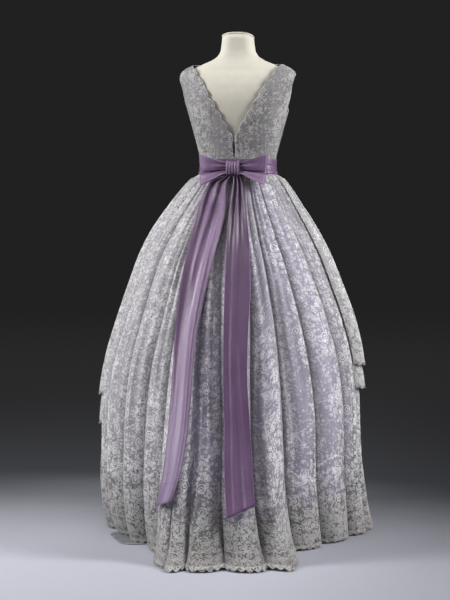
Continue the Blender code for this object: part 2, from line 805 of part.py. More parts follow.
def zip_fastening():
    """The tape behind the centre back opening, and the slider at its top."""
    heights = [BODICE_FOOT + (ZIP_TOP - BODICE_FOOT) * k / 5 for k in range(6)]
    rows = []
    for height in heights:
        row = []
        for part in (-1.0, -0.33, 0.33, 1.0):
            point = form_point(0.0, height, LAYER_GAP + TAPE_WALL)
            point.x = part * ZIP_TAPE_HALF_WIDTH
            point.y -= 0.0005 * part * part
            row.append(point)
        rows.append(row)
    cloth("zip_tape", rows, "zip", TAPE_WALL)
    width, depth, height = SLIDER_SIZE
    seat = form_point(0.0, ZIP_TOP - 0.7 * height, LAYER_GAP + TAPE_WALL + LAYER_GAP)
    bpy.ops.mesh.primitive_cube_add(size=1.0)
    slider = bpy.context.object
    slider.name = "zip_slider"
    for vertex in slider.data.vertices:
        vertex.co.x *= width
        vertex.co.y *= depth
        vertex.co.z *= height
    slider.location = seat + Vector((0.0, 0.5 * depth + 0.0004, 0.0))
    slider.rotation_euler.x = -0.16
    slider.data.materials.append(material("metal", 0.35, 1.0))
    edge = slider.modifiers.new("Edge", "BEVEL")
    edge.width = 0.0005
    edge.segments = 1
    for home in slider.users_collection:
        home.objects.unlink(slider)
    bpy.data.collections[NAME].objects.link(slider)


# Sash and bow
def sash():
    angles = [-360.0 * k / SASH_SIDES for k in range(SASH_SIDES)]
    rows = []
    for height in reversed(column(SASH, SASH_COLUMNS, "height")):
        stand_off = table_value(SASH, SASH_COLUMNS, "stand_off", height) + SATIN_WALL
        rows.append([form_point(angle, height, stand_off) for angle in angles])
    hanging_wall("sash_band", rows, "satin", SATIN_WALL, closed=True, roughness=0.45)


def loop_value(name, reach):
    return table_value(LOOP, LOOP_COLUMNS, name, reach)


def bow_loop(side, sign):
    """One loop: a band that runs out behind, turns at its end and comes back in front."""
    start, end = LOOP[0][0], LOOP[-1][0]
    path = []
    for k in range(LOOP_STEPS):
        path.append((start + (end - start) * ease(k / LOOP_STEPS), -1.0))
    path.append((end, 0.0))
    for k in reversed(range(LOOP_STEPS)):
        path.append((start + (end - start) * ease(k / LOOP_STEPS), 1.0))
    rows = []
    for reach, face in path:
        top, foot, half = (loop_value(name, reach) for name in LOOP_COLUMNS[1:])
        row = []
        for q in range(LOOP_BANDS + 1):
            part = q / LOOP_BANDS
            crease = math.exp(-(((part - LOOP_CREASE_AT) / 0.10) ** 2))
            depth = half - LOOP_CREASE_DEPTH * crease * ease(reach / 0.05) * (1.0 if face > 0 else 0.4)
            lean = LOOP_LEAN * (0.5 - part) * ease(reach / end)
            x = sign * (reach - lean + (LOOP_TURN if face == 0.0 else 0.0))
            z = BOW_HEIGHT + foot + (top - foot) * part
            y = BOW_Y + face * max(depth, LOOP_LEAST_HALF_DEPTH) - 0.08 * (reach - start)
            row.append(Vector((x, y + BOW_LEAN * max(BOW_LEAN_FROM - z, 0.0), z)))
        rows.append(row)
    points, faces = loft(rows)
    if sign > 0.0:
        faces = [tuple(reversed(face)) for face in faces]
    piece = place_mesh("bow_loop_" + side, points, faces, "satin", 0.45)
    add_wall(piece, SATIN_WALL)


def bow_knot():
    """The band round the middle of the bow, open at its two ends, with upright pleats."""
    rows = []
    across = 2 * KNOT_PLEATS
    for j in range(across + 1):
        part = -1.0 + 2.0 * j / across
        ridge = KNOT_PLEAT_DEPTH * (0.5 - 0.5 * math.cos(2.0 * math.pi * KNOT_PLEATS * 0.5 * (part + 1.0)))
        waist = 1.0 - 0.10 * (1.0 - part * part)
        row = []
        for k in range(KNOT_SIDES):
            turn = 2.0 * math.pi * k / KNOT_SIDES
            across_y = math.copysign(abs(math.cos(turn)) ** 0.75, math.cos(turn))
            along_z = math.copysign(abs(math.sin(turn)) ** 0.75, math.sin(turn))
            row.append(
                Vector((
                    part * KNOT_HALF_WIDTH,
                    BOW_Y + (KNOT_HALF_DEPTH + ridge) * across_y,
                    BOW_HEIGHT - 0.002 + (KNOT_HALF_HEIGHT * waist + ridge) * along_z,
                ))
            )
        rows.append(row)
    points, faces = loft(rows, closed=True)
    face = faces[0]
    a, b, c = (points[k] for k in face[:3])
    if (b - a).cross(c - b).dot(a - Vector((a.x, BOW_Y, BOW_HEIGHT))) < 0.0:
        faces = [tuple(reversed(f)) for f in faces]
    piece = place_mesh("bow_knot", points, faces, "satin", 0.45)
    add_wall(piece, SATIN_WALL)


def drape_depth(x, height):
    """How far back the folds of the skirt reach behind a given x and height."""
    x -= table_value(SWAY, SWAY_COLUMNS, "shift", height)
    y = 0.3
    for _ in range(12):
        angle = math.degrees(math.atan2(x, y))
        reach = skirt_reach(angle, height)
        y = math.sqrt(max(reach * reach - x * x, 1e-6))
    return y


def sash_tail(name, table, end_slant):
    """A tail of the bow, pleated at the knot, lying on the crests of the skirt's folds."""
    top, foot = table[0][0], table[-1][0]
    rows = []
    for i in range(TAIL_ROWS + 1):
        part = i / TAIL_ROWS
        height = top + (foot - top) * (0.35 * part**2 + 0.65 * part)
        middle, width, stand_off = (table_value(table, TAIL_COLUMNS, key, height) for key in TAIL_COLUMNS[1:])
        pleat = TAIL_PLEAT_DEPTH * (1.0 - 0.75 * ease(part * 1.6))
        row = []
        for j in range(TAIL_BANDS + 1):
            across = -0.5 + j / TAIL_BANDS
            slant = end_slant * width * across * ease((part - 0.9) / 0.1)
            level = height + slant
            x = middle + width * across
            fold = 0.5 - 0.5 * math.cos(2.0 * math.pi * TAIL_PLEATS * (across + 0.5))
            y = drape_depth(x, min(level, 1.084)) + stand_off + SATIN_WALL + pleat * fold
            row.append(Vector((x, max(y, 0.0), level)))
        rows.append(row)
    cloth(name, rows, "satin", SATIN_WALL, roughness=0.45)


# Skirt
def fold_places(start, end):
    """Places along the folds between two angles, both ends included."""
    def place_of(angle):
        low, high = -1.0, 2.0 * len(FOLDS)
        for _ in range(50):
            middle = 0.5 * (low + high)
            if fold_angle(middle, 0.5) < angle:
                low = middle
            else:
                high = middle
        return 0.5 * (low + high)

    first, last = place_of(start), place_of(end)
    places = [first]
    for index in range(int(math.floor(first)), int(math.floor(last)) + 1):
        places += [index + part for part in FOLD_SAMPLES if first + 0.06 < index + part < last - 0.06]
    return places + [last]


def seam_shift(point, toward, distance):
    """A point moved round the axis by a distance."""
    radius = math.hypot(point.x, point.y)
    turn = toward * distance / max(radius, 0.01)
    c, s = math.cos(turn), math.sin(turn)
    return Vector((point.x * c + point.y * s, point.y * c - point.x * s, point.z))


def skirt_rows(places):
    rows = []
    for height in SKIRT_RINGS:
        row = [hem_point(p) if height == 0.0 else skirt_point(p, height) for p in places]
        row[0] = seam_shift(row[0], 1.0, 0.5 * SEAM_GAP + 0.0004)
        row[-1] = seam_shift(row[-1], -1.0, 0.5 * SEAM_GAP + 0.0004)
        rows.append(row)
    return rows


def lace_skirt():
    for name, start, end in (("back", -SIDE_SEAM, SIDE_SEAM), ("front", SIDE_SEAM, 360.0 - SIDE_SEAM)):
        hanging_wall("skirt_" + name, skirt_rows(fold_places(start, end)), "lace", FOLDED_WALL)


def tier_hem(place, left, right):
    """The height of a tier's hem, which slants from one side to the other, with scallops."""
    angle = fold_angle(place, 0.4)
    across = ease(0.5 * (1.0 + math.cos(math.radians(angle - TIER_SIDE))))
    rise, _ = fold_height(place)
    return right + (left - right) * across + TIER_NOTCH * (1.0 - rise)


def lace_tiers():
    places = fold_places(TIER_SIDE, 360.0 - TIER_SIDE)
    for row in TIERS:
        tier = dict(zip(TIER_COLUMNS, row))
        levels = [[height] * len(places) for height in tier["heights"]]
        hem = [tier_hem(place, tier["hem_left"], tier["hem_right"]) for place in places]
        levels += [[0.5 * (tier["heights"][-1] + low) for low in hem], hem]
        let_out = tier["stand_off_hem"] - tier["stand_off_head"]
        rows = []
        for k, level in enumerate(levels):
            stand_off = tier["stand_off_head"] + let_out * ease(1.3 * k / (len(levels) - 1)) + LACE_WALL
            rows.append([skirt_point(place, height, stand_off) for place, height in zip(places, level)])
        hanging_wall(tier["name"], rows, "lace", FOLDED_WALL)


def underskirt_reach(angle, height):
    """The underskirt's radius: near the lace's valleys at its head, and freer below."""
    free = ease((UNDER_HEIGHTS[0] - height) / 0.06)
    clearance = UNDERSKIRT_HEAD_CLEARANCE + (UNDERSKIRT_CLEARANCE - UNDERSKIRT_HEAD_CLEARANCE) * free
    return valley_reach(angle, height) - FOLDED_WALL - clearance


def petticoat_reach(angle, height):
    """The petticoat's radius, inside the underskirt."""
    free = ease((UNDER_HEIGHTS[0] - height) / 0.06)
    clearance = PETTICOAT_HEAD_CLEARANCE + (PETTICOAT_CLEARANCE - PETTICOAT_HEAD_CLEARANCE) * free
    return underskirt_reach(angle, height) - LACE_WALL - clearance


def under_layers():
    angles = [-360.0 * k / UNDERSKIRT_SIDES for k in range(UNDERSKIRT_SIDES)]
    heights = UNDER_HEIGHTS + (UNDERSKIRT_FOOT,)
    rows = [[skirt_polar(a, underskirt_reach(a, h), h) for a in angles] for h in heights]
    hanging_wall("underskirt_lilac", rows, "lilac", LACE_WALL, closed=True)
    rows = [[skirt_polar(a, petticoat_reach(a, h), h) for a in angles] for h in heights]
    rows.append([petticoat_hem(a, 0.0) for a in angles])
    rows.append([petticoat_hem(a, 1.0) for a in angles])
    hanging_wall("petticoat_net", rows, "net", LACE_WALL, closed=True)


def petticoat_hem(angle, out):
    """A point near the petticoat's hem, which is let out on the floor at one side."""
    low, high = PETTICOAT_SHOWS
    middle, half = 0.5 * (low + high), 0.5 * (high - low)
    swell = ease(1.4 - abs(wrap(angle) - middle) / half)
    reach = petticoat_reach(angle, UNDERSKIRT_FOOT)
    let_out = skirt_reach(angle, 0.0) + PETTICOAT_REACH - reach
    reach += PETTICOAT_LIP * out + swell * (0.004 + out * let_out)
    return polar(angle, reach, LACE_WALL + 0.0004)


def main():
    for leftover in list(bpy.data.objects):
        bpy.data.objects.remove(leftover)
    home = bpy.data.collections.new(NAME)
    bpy.context.scene.collection.children.link(home)
    dress_form()
    stand()
    bodice()
    strap_linings()
    zip_fastening()
    sash()
    bow_loop("left", 1.0)
    bow_loop("right", -1.0)
    bow_knot()
    sash_tail("sash_tail_left", LEFT_TAIL, LEFT_TAIL_SLANT)
    sash_tail("sash_tail_right", RIGHT_TAIL, RIGHT_TAIL_SLANT)
    lace_skirt()
    lace_tiers()
    under_layers()
    for piece in home.objects:
        piece.data.shade_smooth()


main()
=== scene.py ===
import math

import bmesh
import bpy
import numpy as np
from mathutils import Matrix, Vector


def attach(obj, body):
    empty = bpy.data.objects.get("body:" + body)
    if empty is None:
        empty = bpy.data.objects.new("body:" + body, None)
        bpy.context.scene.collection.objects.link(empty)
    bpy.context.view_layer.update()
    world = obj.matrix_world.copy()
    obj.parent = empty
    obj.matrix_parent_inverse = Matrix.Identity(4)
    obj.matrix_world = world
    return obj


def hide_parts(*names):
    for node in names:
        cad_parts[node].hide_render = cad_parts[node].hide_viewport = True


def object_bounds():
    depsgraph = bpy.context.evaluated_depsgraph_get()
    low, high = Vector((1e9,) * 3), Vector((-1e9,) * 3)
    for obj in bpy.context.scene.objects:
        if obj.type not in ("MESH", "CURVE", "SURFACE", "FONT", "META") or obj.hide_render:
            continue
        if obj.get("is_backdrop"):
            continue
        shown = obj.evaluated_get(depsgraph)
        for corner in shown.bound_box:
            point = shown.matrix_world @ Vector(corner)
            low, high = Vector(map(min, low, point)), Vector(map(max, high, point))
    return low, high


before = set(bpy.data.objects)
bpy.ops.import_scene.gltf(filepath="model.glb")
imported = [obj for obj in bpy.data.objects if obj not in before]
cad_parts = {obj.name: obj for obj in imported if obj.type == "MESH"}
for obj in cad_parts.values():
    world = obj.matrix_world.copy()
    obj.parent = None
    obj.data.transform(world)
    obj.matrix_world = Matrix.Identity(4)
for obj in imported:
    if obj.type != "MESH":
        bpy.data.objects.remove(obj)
cad_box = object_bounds()
TURN = 2.0 * math.pi

# The gown's tables, in metres and degrees; angles run from the back towards the wearer's left
FORM = np.array((
    (0.86, 0.148, 0.098, 0.08), (0.93, 0.158, 0.108, 0.088), (1.0, 0.142, 0.094, 0.085),
    (1.06, 0.12, 0.078, 0.078), (1.115, 0.1105, 0.07, 0.074), (1.148, 0.1125, 0.071, 0.079),
    (1.176, 0.119, 0.075, 0.087), (1.213, 0.1285, 0.082, 0.101), (1.25, 0.1385, 0.089, 0.115),
    (1.287, 0.149, 0.094, 0.12), (1.324, 0.16, 0.096, 0.113), (1.361, 0.168, 0.092, 0.098),
    (1.385, 0.172, 0.084, 0.085), (1.398, 0.169, 0.078, 0.076), (1.41, 0.155, 0.071, 0.068),
    (1.421, 0.133, 0.065, 0.061), (1.431, 0.108, 0.059, 0.056), (1.442, 0.082, 0.054, 0.053),
    (1.456, 0.062, 0.05, 0.052), (1.48, 0.051, 0.047, 0.051), (1.535, 0.0455, 0.045, 0.049),
))
FORM_SQUARENESS = 2.35
NECK_TOP = 1.513
NECK_SLANT = 0.24
# height, half width, back, front, fold depth, train share, squareness
SKIRT = np.array((
    (1.112, 0.1137, 0.0735, 0.0775, 0.0, 0.0, 2.35), (1.098, 0.1168, 0.076, 0.08, 0.001, 0.0, 2.35),
    (1.084, 0.138, 0.09, 0.096, 0.005, 0.0, 2.25), (1.047, 0.17, 0.119, 0.123, 0.009, 0.0, 2.12),
    (1.0, 0.203, 0.153, 0.153, 0.0125, 0.0, 2.04), (0.955, 0.234, 0.186, 0.182, 0.015, 0.0, 2.0),
    (0.893, 0.268, 0.225, 0.218, 0.0175, 0.0, 2.0), (0.832, 0.295, 0.262, 0.252, 0.0195, 0.01, 2.0),
    (0.77, 0.317, 0.288, 0.277, 0.021, 0.02, 2.0), (0.647, 0.357, 0.328, 0.318, 0.0245, 0.06, 2.0),
    (0.524, 0.386, 0.355, 0.348, 0.0275, 0.12, 2.0), (0.4, 0.398, 0.369, 0.366, 0.03, 0.21, 2.0),
    (0.247, 0.404, 0.376, 0.378, 0.033, 0.39, 2.0), (0.155, 0.413, 0.38, 0.384, 0.035, 0.52, 2.0),
    (0.06, 0.418, 0.383, 0.388, 0.037, 0.71, 2.0), (0.03, 0.419, 0.384, 0.389, 0.038, 0.82, 2.0),
    (0.0, 0.42, 0.385, 0.39, 0.038, 1.0, 2.0),
))
SWAY = np.array((
    (1.098, 0.0), (1.05, 0.004), (1.0, 0.008), (0.9, 0.012), (0.7, 0.011), (0.5, 0.017), (0.22, 0.021),
    (0.08, 0.012), (0.0, 0.0),
))
HEM = np.array((
    (-180.0, 0.392), (-140.0, 0.402), (-111.0, 0.43), (-90.0, 0.414), (-78.0, 0.39), (-62.0, 0.378),
    (-50.0, 0.382), (-38.0, 0.408), (-32.0, 0.452), (-27.0, 0.545), (-22.0, 0.632), (-12.0, 0.622),
    (0.0, 0.628), (9.0, 0.645), (14.0, 0.59), (18.0, 0.53), (26.0, 0.445), (36.0, 0.39), (45.0, 0.388),
    (60.0, 0.372), (74.0, 0.38), (85.0, 0.41), (100.0, 0.422), (140.0, 0.402), (180.0, 0.392),
))
# Each fold's valley: its angle near the waist and near the hem, its depth's share and its crest
FOLDS = np.array((
    (-176.0, -177.0, 0.8, 0.5), (-163.0, -166.0, 0.95, 0.6), (-150.0, -155.0, 0.75, 0.4),
    (-137.0, -144.0, 1.0, 0.5), (-124.0, -133.0, 0.85, 0.6), (-110.5, -121.0, 0.95, 0.4),
    (-98.0, -111.0, 0.8, 0.5), (-87.0, -100.0, 0.9, 0.45), (-75.5, -89.0, 0.85, 0.4),
    (-61.8, -76.3, 1.0, 0.45), (-42.9, -53.3, 1.15, 0.28), (-29.5, -33.8, 1.25, 0.26),
    (-18.0, -17.0, 0.9, 0.45), (0.7, -5.5, 1.15, 0.72), (10.0, 5.2, 0.8, 0.5), (17.0, 11.0, 0.7, 0.5),
    (23.5, 22.0, 1.05, 0.7), (31.0, 36.0, 1.1, 0.6), (48.9, 53.0, 0.9, 0.72), (62.3, 71.0, 0.8, 0.6),
    (78.5, 86.0, 0.85, 0.5), (94.0, 101.0, 0.9, 0.5), (107.0, 113.0, 0.95, 0.4),
    (120.0, 126.0, 0.8, 0.55), (133.0, 139.0, 1.0, 0.5), (146.0, 151.0, 0.75, 0.6),
    (159.0, 162.0, 0.9, 0.4), (171.0, 172.5, 0.85, 0.5),
))
FOLD_ROUNDNESS = 0.62
BROAD_PLEAT, GATHER, CRINKLE = 0.0085, 0.0026, 0.0022
FOLDS_HIGH, FOLDS_LOW = 0.95, 0.25
SKIRT_TOP, SKIRT_FOOT = 1.112, 0.0036
HEM_NOTCH, HEM_TURN = 0.009, 0.032
LEFT_FULLNESS = 0.009
SIDE_SEAM, TIER_SIDE = 97.0, 92.0


# Curves
def curve(xs, ys, x):
    """Smooth values at x through points, which keep their order."""
    xs, ys = np.asarray(xs, float), np.asarray(ys, float)
    if xs[0] > xs[-1]:
        xs, ys = xs[::-1], ys[::-1]
    x = np.clip(x, xs[0], xs[-1])
    step = np.diff(ys) / np.diff(xs)
    tangent = np.zeros(len(xs))
    tangent[0], tangent[-1] = step[0], step[-1]
    before, after = step[:-1], step[1:]
    same = before * after > 0.0
    tangent[1:-1][same] = 2.0 * before[same] * after[same] / (before[same] + after[same])
    i = np.clip(np.searchsorted(xs, x, side="right") - 1, 0, len(xs) - 2)
    span = xs[i + 1] - xs[i]
    t = (x - xs[i]) / span
    low, high = tangent[i] * span, tangent[i + 1] * span
    return (
        (2 * t**3 - 3 * t**2 + 1) * ys[i]
        + (t**3 - 2 * t**2 + t) * low
        + (3 * t**2 - 2 * t**3) * ys[i + 1]
        + (t**3 - t**2) * high
    )


def look_up(table, column, x):
    return curve(table[:, 0], table[:, column], x)


def ease(x):
    x = np.clip(x, 0.0, 1.0)
    return x * x * (3.0 - 2.0 * x)


def bell(x, middle, half):
    return np.exp(-(((x - middle) / half) ** 2))


def swing(x):
    """From 0 to 1 and back for each whole number."""
    return 0.5 - 0.5 * np.cos(TURN * x)


def oval(angle, half_width, back, front, squareness):
    sine_part, cosine_part = np.sin(np.radians(angle)), np.cos(np.radians(angle))
    depth = np.where(cosine_part > 0.0, back, front)
    total = np.abs(sine_part / half_width) ** squareness + np.abs(cosine_part / depth) ** squareness
    return total ** (-1.0 / squareness)


def polar(angle, radius, height):
    turn = np.radians(angle)
    angle, radius, height = np.broadcast_arrays(turn, radius, height)
    return np.stack((radius * np.sin(angle), radius * np.cos(angle), height), axis=-1)


# The form's surface
def form_radius(angle, height):
    sizes = [look_up(FORM, k, height) for k in (1, 2, 3)]
    return oval(angle, *sizes, FORM_SQUARENESS)


def form_surface(angle, height, offset):
    """Points off the form, along its surface's normal."""
    angle, height = np.broadcast_arrays(np.asarray(angle, float), np.asarray(height, float))
    turn, rise = 0.6, 0.0012
    points = polar(angle, form_radius(angle, height), height)
    across = polar(angle + turn, form_radius(angle + turn, height), height)
    across -= polar(angle - turn, form_radius(angle - turn, height), height)
    along = polar(angle, form_radius(angle, height + rise), height + rise)
    along -= polar(angle, form_radius(angle, height - rise), height - rise)
    normal = np.cross(along, across)
    normal /= np.linalg.norm(normal, axis=-1, keepdims=True)
    facing = np.sign(normal[..., 0] * points[..., 0] + normal[..., 1] * points[..., 1])
    return points + normal * (facing * offset)[..., None]


# The skirt's surface
def wrap(angle):
    return (angle + 180.0) % 360.0 - 180.0


def skirt_reach(angle, height):
    sizes = [look_up(SKIRT, k, height) for k in (1, 2, 3)]
    squareness = look_up(SKIRT, 6, height)
    let_out = look_up(HEM, 1, wrap(angle)) - oval(angle, *SKIRT[-1, 1:4], 2.0)
    return oval(angle, *sizes, squareness) + look_up(SKIRT, 5, height) * let_out


def fold_angle(place, height):
    number = len(FOLDS)
    index = np.floor(place).astype(int)
    lower = ease((FOLDS_HIGH - height) / (FOLDS_HIGH - FOLDS_LOW))

    def valley(k):
        high, low = FOLDS[k % number, 0], FOLDS[k % number, 1]
        return high + (low - high) * lower + 360.0 * (k // number)

    return valley(index) + (valley(index + 1) - valley(index)) * (place - index)


def fold_rise(place):
    """How high the cloth stands in its fold, 0 to 1, and the fold's share of the depth."""
    number = len(FOLDS)
    index = np.floor(place).astype(int)
    part = place - index
    own, crest = FOLDS[index % number, 2], FOLDS[index % number, 3]
    warped = np.where(part < crest, 0.5 * part / crest, 0.5 + 0.5 * (part - crest) / (1.0 - crest))
    beside = np.where(part < 0.5, FOLDS[(index - 1) % number, 2], FOLDS[(index + 1) % number, 2])
    rise = np.sin(np.pi * np.clip(warped, 0.0, 1.0)) ** FOLD_ROUNDNESS
    at_valley = 0.5 * (own + beside)
    return rise, at_valley + (own - at_valley) * rise


# Soft creases placed one by one: place along the folds, top, foot, depth and half width in folds
CREASES = (
    (9.62, 1.06, 0.62, 0.005, 0.085), (10.45, 1.06, 0.4, 0.006, 0.07), (10.78, 0.8, 0.16, 0.005, 0.08),
    (11.55, 1.05, 0.3, 0.0055, 0.075), (11.8, 0.62, 0.08, 0.006, 0.06), (12.3, 1.06, 0.52, 0.004, 0.08),
    (13.35, 0.9, 0.2, 0.005, 0.075), (13.68, 0.5, 0.02, 0.006, 0.07), (16.4, 1.05, 0.35, 0.0045, 0.075),
    (17.35, 0.85, 0.22, 0.006, 0.07), (17.72, 1.06, 0.6, 0.0045, 0.06), (18.3, 0.7, 0.1, 0.0065, 0.065),
    (18.55, 1.05, 0.48, 0.005, 0.07), (19.4, 0.98, 0.26, 0.0055, 0.08), (20.5, 1.05, 0.5, 0.0045, 0.08),
    (8.4, 1.04, 0.35, 0.005, 0.08), (7.5, 0.9, 0.28, 0.0045, 0.08), (22.45, 0.8, 0.15, 0.005, 0.08),
    (24.3, 0.7, 0.1, 0.0055, 0.08), (25.6, 0.6, 0.05, 0.005, 0.08), (1.55, 0.75, 0.12, 0.005, 0.08),
    (3.35, 0.66, 0.08, 0.0055, 0.08), (5.6, 0.72, 0.1, 0.005, 0.08),
)


def crease_depth(place, height):
    """Creases and gathers, uneven, that lie inside the fold's own outer face."""
    total = np.zeros(np.broadcast(place, height).shape)
    for at, top, foot, depth, half in CREASES:
        drift = 0.05 * np.sin(height * 9.0 + at * 2.0)
        shape = bell(place - drift, at, half)
        total -= depth * shape * ease((top - height) / 0.1) * ease((height - foot) / 0.14)
    broad = swing(place * 1.9 + 0.35 * np.sin(place * 4.7) + 0.1 * np.sin(place * 11.3))
    below_waist = ease((height - 0.6) / 0.4) * ease((1.088 - height) / 0.022)
    total -= BROAD_PLEAT * broad**1.4 * below_waist * (0.65 + 0.35 * np.sin(place * 2.3 + 1.0))
    gathers = swing(place * 4.3 + 0.3 * np.sin(place * 5.9))
    near_waist = ease((height - 0.9) / 0.13) * ease((1.092 - height) / 0.016)
    total -= GATHER * gathers * near_waist
    fine = np.sin(place * 17.0 + 1.6 * np.sin(height * 5.0)) * np.sin(height * 6.5 + place * 1.7)
    total -= CRINKLE * (0.5 + 0.5 * fine) * ease((1.05 - height) / 0.1)
    return total


def sway(height):
    return look_up(SWAY, 1, height)


def skirt_surface(place, height, stand_off=0.0, creased=1.0):
    """Points of the lace's outer face; below the turn of the hem it settles on the floor."""
    place, height = np.broadcast_arrays(np.asarray(place, float), np.asarray(height, float))
    angle = fold_angle(place, height)
    rise, share = fold_rise(place)
    depth = look_up(SKIRT, 4, height) * share
    low = np.clip(1.0 - height / HEM_TURN, 0.0, 1.0)
    notch = HEM_NOTCH * (1.0 - rise) ** 2 * low
    radius = skirt_reach(angle, height) - depth * (1.0 - rise) + stand_off - notch
    radius = radius + creased * crease_depth(place, height)
    left_side = ease((wrap(angle) - 45.0) / 30.0) * ease((125.0 - wrap(angle)) / 30.0)
    radius = radius + LEFT_FULLNESS * left_side * ease((0.62 - height) / 0.25)
    points = polar(angle, radius, height + SKIRT_FOOT * low + 0.5 * notch)
    points[..., 0] += sway(height)
    return points


def places_between(start, end, samples):
    """Places along the folds between two angles, close together near the valleys."""
    dense = np.linspace(-1.0, 2.0 * len(FOLDS), 12001)
    angles = fold_angle(dense, np.full_like(dense, 0.5))
    first, last = np.interp((start, end), angles, dense)
    inner = []
    for index in range(int(math.floor(first)), int(math.floor(last)) + 1):
        crest = FOLDS[index % len(FOLDS), 3]
        for k in range(samples):
            t = k / samples
            t = 0.5 * (t + 0.5 - 0.5 * math.cos(math.pi * t))
            inner.append(index + (t * 2.0 * crest if t < 0.5 else 1.0 - (1.0 - t) * 2.0 * (1.0 - crest)))
    inner = [p for p in inner if first + 0.01 < p < last - 0.01]
    return np.array([first] + inner + [last])


# Meshes
def distances(points, axis):
    """Distances run along rows or columns of points."""
    steps = np.linalg.norm(np.diff(points, axis=axis), axis=-1)
    zero = np.zeros_like(np.take(steps, [0], axis=axis))
    return np.concatenate((zero, np.cumsum(steps, axis=axis)), axis=axis)


def placed(name, vertices, faces, material):
    mesh = bpy.data.meshes.new(name)
    mesh.from_pydata(vertices, [], faces)
    mesh.materials.append(material)
    mesh.shade_smooth()
    piece = bpy.data.objects.new(name, mesh)
    bpy.context.scene.collection.objects.link(piece)
    return piece


def grid(name, points, material, uv=None, corner_u=None, closed=False, veil=0.0, lit=1.0, flip=False):
    """A sheet through rows and columns of points, with its cloth coordinates in metres."""
    rows, columns = points.shape[:2]
    across = columns if closed else columns - 1
    if uv is None:
        uv = np.stack((distances(points, 1), distances(points, 0)), axis=-1)
    j = np.arange(across)
    k = (j + 1) % columns
    i = np.arange(rows - 1)[:, None]
    corners = [i * columns + j, i * columns + k, (i + 1) * columns + k, (i + 1) * columns + j]
    faces = np.stack(np.broadcast_arrays(*corners), axis=-1).reshape(-1, 4)
    if corner_u is None:
        left, right = uv[:, j, 0], uv[:, k, 0]
        if closed:
            right[:, -1] = left[:, -1] + np.linalg.norm(points[:, 0] - points[:, -1], axis=-1)
    else:
        left, right = corner_u
    left, right = np.stack((left, uv[:, j, 1]), -1), np.stack((right, uv[:, k, 1]), -1)
    corner_uv = np.stack((left[:-1], right[:-1], right[1:], left[1:]), axis=2).reshape(-1, 4, 2)
    if flip:
        faces, corner_uv = faces[:, ::-1], corner_uv[:, ::-1]
    piece = placed(name, points.reshape(-1, 3).tolist(), faces.tolist(), material)
    mesh = piece.data
    layer = mesh.uv_layers.new(name="cloth")
    layer.data.foreach_set("uv", np.ascontiguousarray(corner_uv).reshape(-1))
    for label, values in (("veil", veil), ("lit", lit)):
        attribute = mesh.attributes.new(label, "FLOAT", "POINT")
        values = np.broadcast_to(values, points.shape[:2]).reshape(-1).astype(float)
        attribute.data.foreach_set("value", values)
    return piece


def thicken(piece, thickness):
    modifier = piece.modifiers.new("Thickness", "SOLIDIFY")
    modifier.thickness = thickness
    modifier.offset = -1.0


def tube(points, radius, sides, closed=False):
    """Points and faces of a thin cord along a path."""
    points = np.asarray(points, float)
    if closed:
        tangent = np.roll(points, -1, 0) - np.roll(points, 1, 0)
    else:
        tangent = np.gradient(points, axis=0)
    tangent /= np.maximum(np.linalg.norm(tangent, axis=1, keepdims=True), 1e-9)
    up = np.where(np.abs(tangent[:, 2:3]) > 0.9, (1.0, 0.0, 0.0), (0.0, 0.0, 1.0))
    side = np.cross(tangent, up)
    side /= np.maximum(np.linalg.norm(side, axis=1, keepdims=True), 1e-9)
    other = np.cross(tangent, side)
    radius = np.broadcast_to(np.asarray(radius, float), (len(points),))[:, None]
    angles = np.arange(sides) * 2 * math.pi / sides
    vertices = np.stack([points + radius * (math.cos(a) * side + math.sin(a) * other) for a in angles], 1)
    number = len(points)
    faces = []
    for i in range(number if closed else number - 1):
        n = (i + 1) % number
        for s in range(sides):
            t = (s + 1) % sides
            faces.append((i * sides + s, i * sides + t, n * sides + t, n * sides + s))
    if not closed:
        faces.append(tuple(reversed(range(sides))))
        faces.append(tuple(range((number - 1) * sides, number * sides)))
    return vertices.reshape(-1, 3), faces


def joined(name, parts, material):
    """One mesh of many small parts, each a pair of points and faces."""
    vertices, faces, start = [], [], 0
    for points, own in parts:
        vertices.extend(np.asarray(points).tolist())
        faces.extend(tuple(start + k for k in face) for face in own)
        start += len(points)
    return placed(name, vertices, faces, material)


# Scalloped edges: how far they drop and how wide each scallop is
EDGE, SCALLOP = 0.012, 0.0235
# A die's full turn, and the lean of the net's threads
DICE_TURN, NET_LEAN = 6.3, 0.577


# Materials, written as formulas of node values
class Field:
    """A socket's value, so that a pattern reads as a formula."""

    def __init__(self, tree, socket):
        self.tree, self.socket = tree, socket

    def use(self, operation, *others):
        return calculated(self.tree, operation, self, *others)

    def __add__(self, other):
        return self.use("ADD", other)

    def __sub__(self, other):
        return self.use("SUBTRACT", other)

    def __rsub__(self, other):
        return calculated(self.tree, "SUBTRACT", other, self)

    def __mul__(self, other):
        return self.use("MULTIPLY", other)

    def __truediv__(self, other):
        return self.use("DIVIDE", other)

    __radd__, __rmul__ = __add__, __mul__


def feed(socket, value):
    if isinstance(value, Field):
        value.tree.links.new(value.socket, socket)
    elif socket.type == "RGBA":
        socket.default_value = (*value, 1.0)
    else:
        socket.default_value = value


def from_node(tree, kind, output, inputs, **settings):
    """The output of a new node, with its settings and its inputs' values."""
    node = tree.nodes.new(kind)
    for label, value in settings.items():
        setattr(node, label, value)
    for key, value in inputs.items():
        feed(node.inputs[key], value)
    return Field(tree, node.outputs[output])


def calculated(tree, operation, *values):
    return from_node(tree, "ShaderNodeMath", 0, dict(enumerate(values)), operation=operation)


def soft(value, low, high):
    """From 0 at low to 1 at high, with soft ends."""
    inputs = {"Value": value, "From Min": low, "From Max": high}
    return from_node(value.tree, "ShaderNodeMapRange", "Result", inputs, interpolation_type="SMOOTHSTEP")


def most(*values):
    result = values[0]
    for value in values[1:]:
        result = result.use("MAXIMUM", value)
    return result


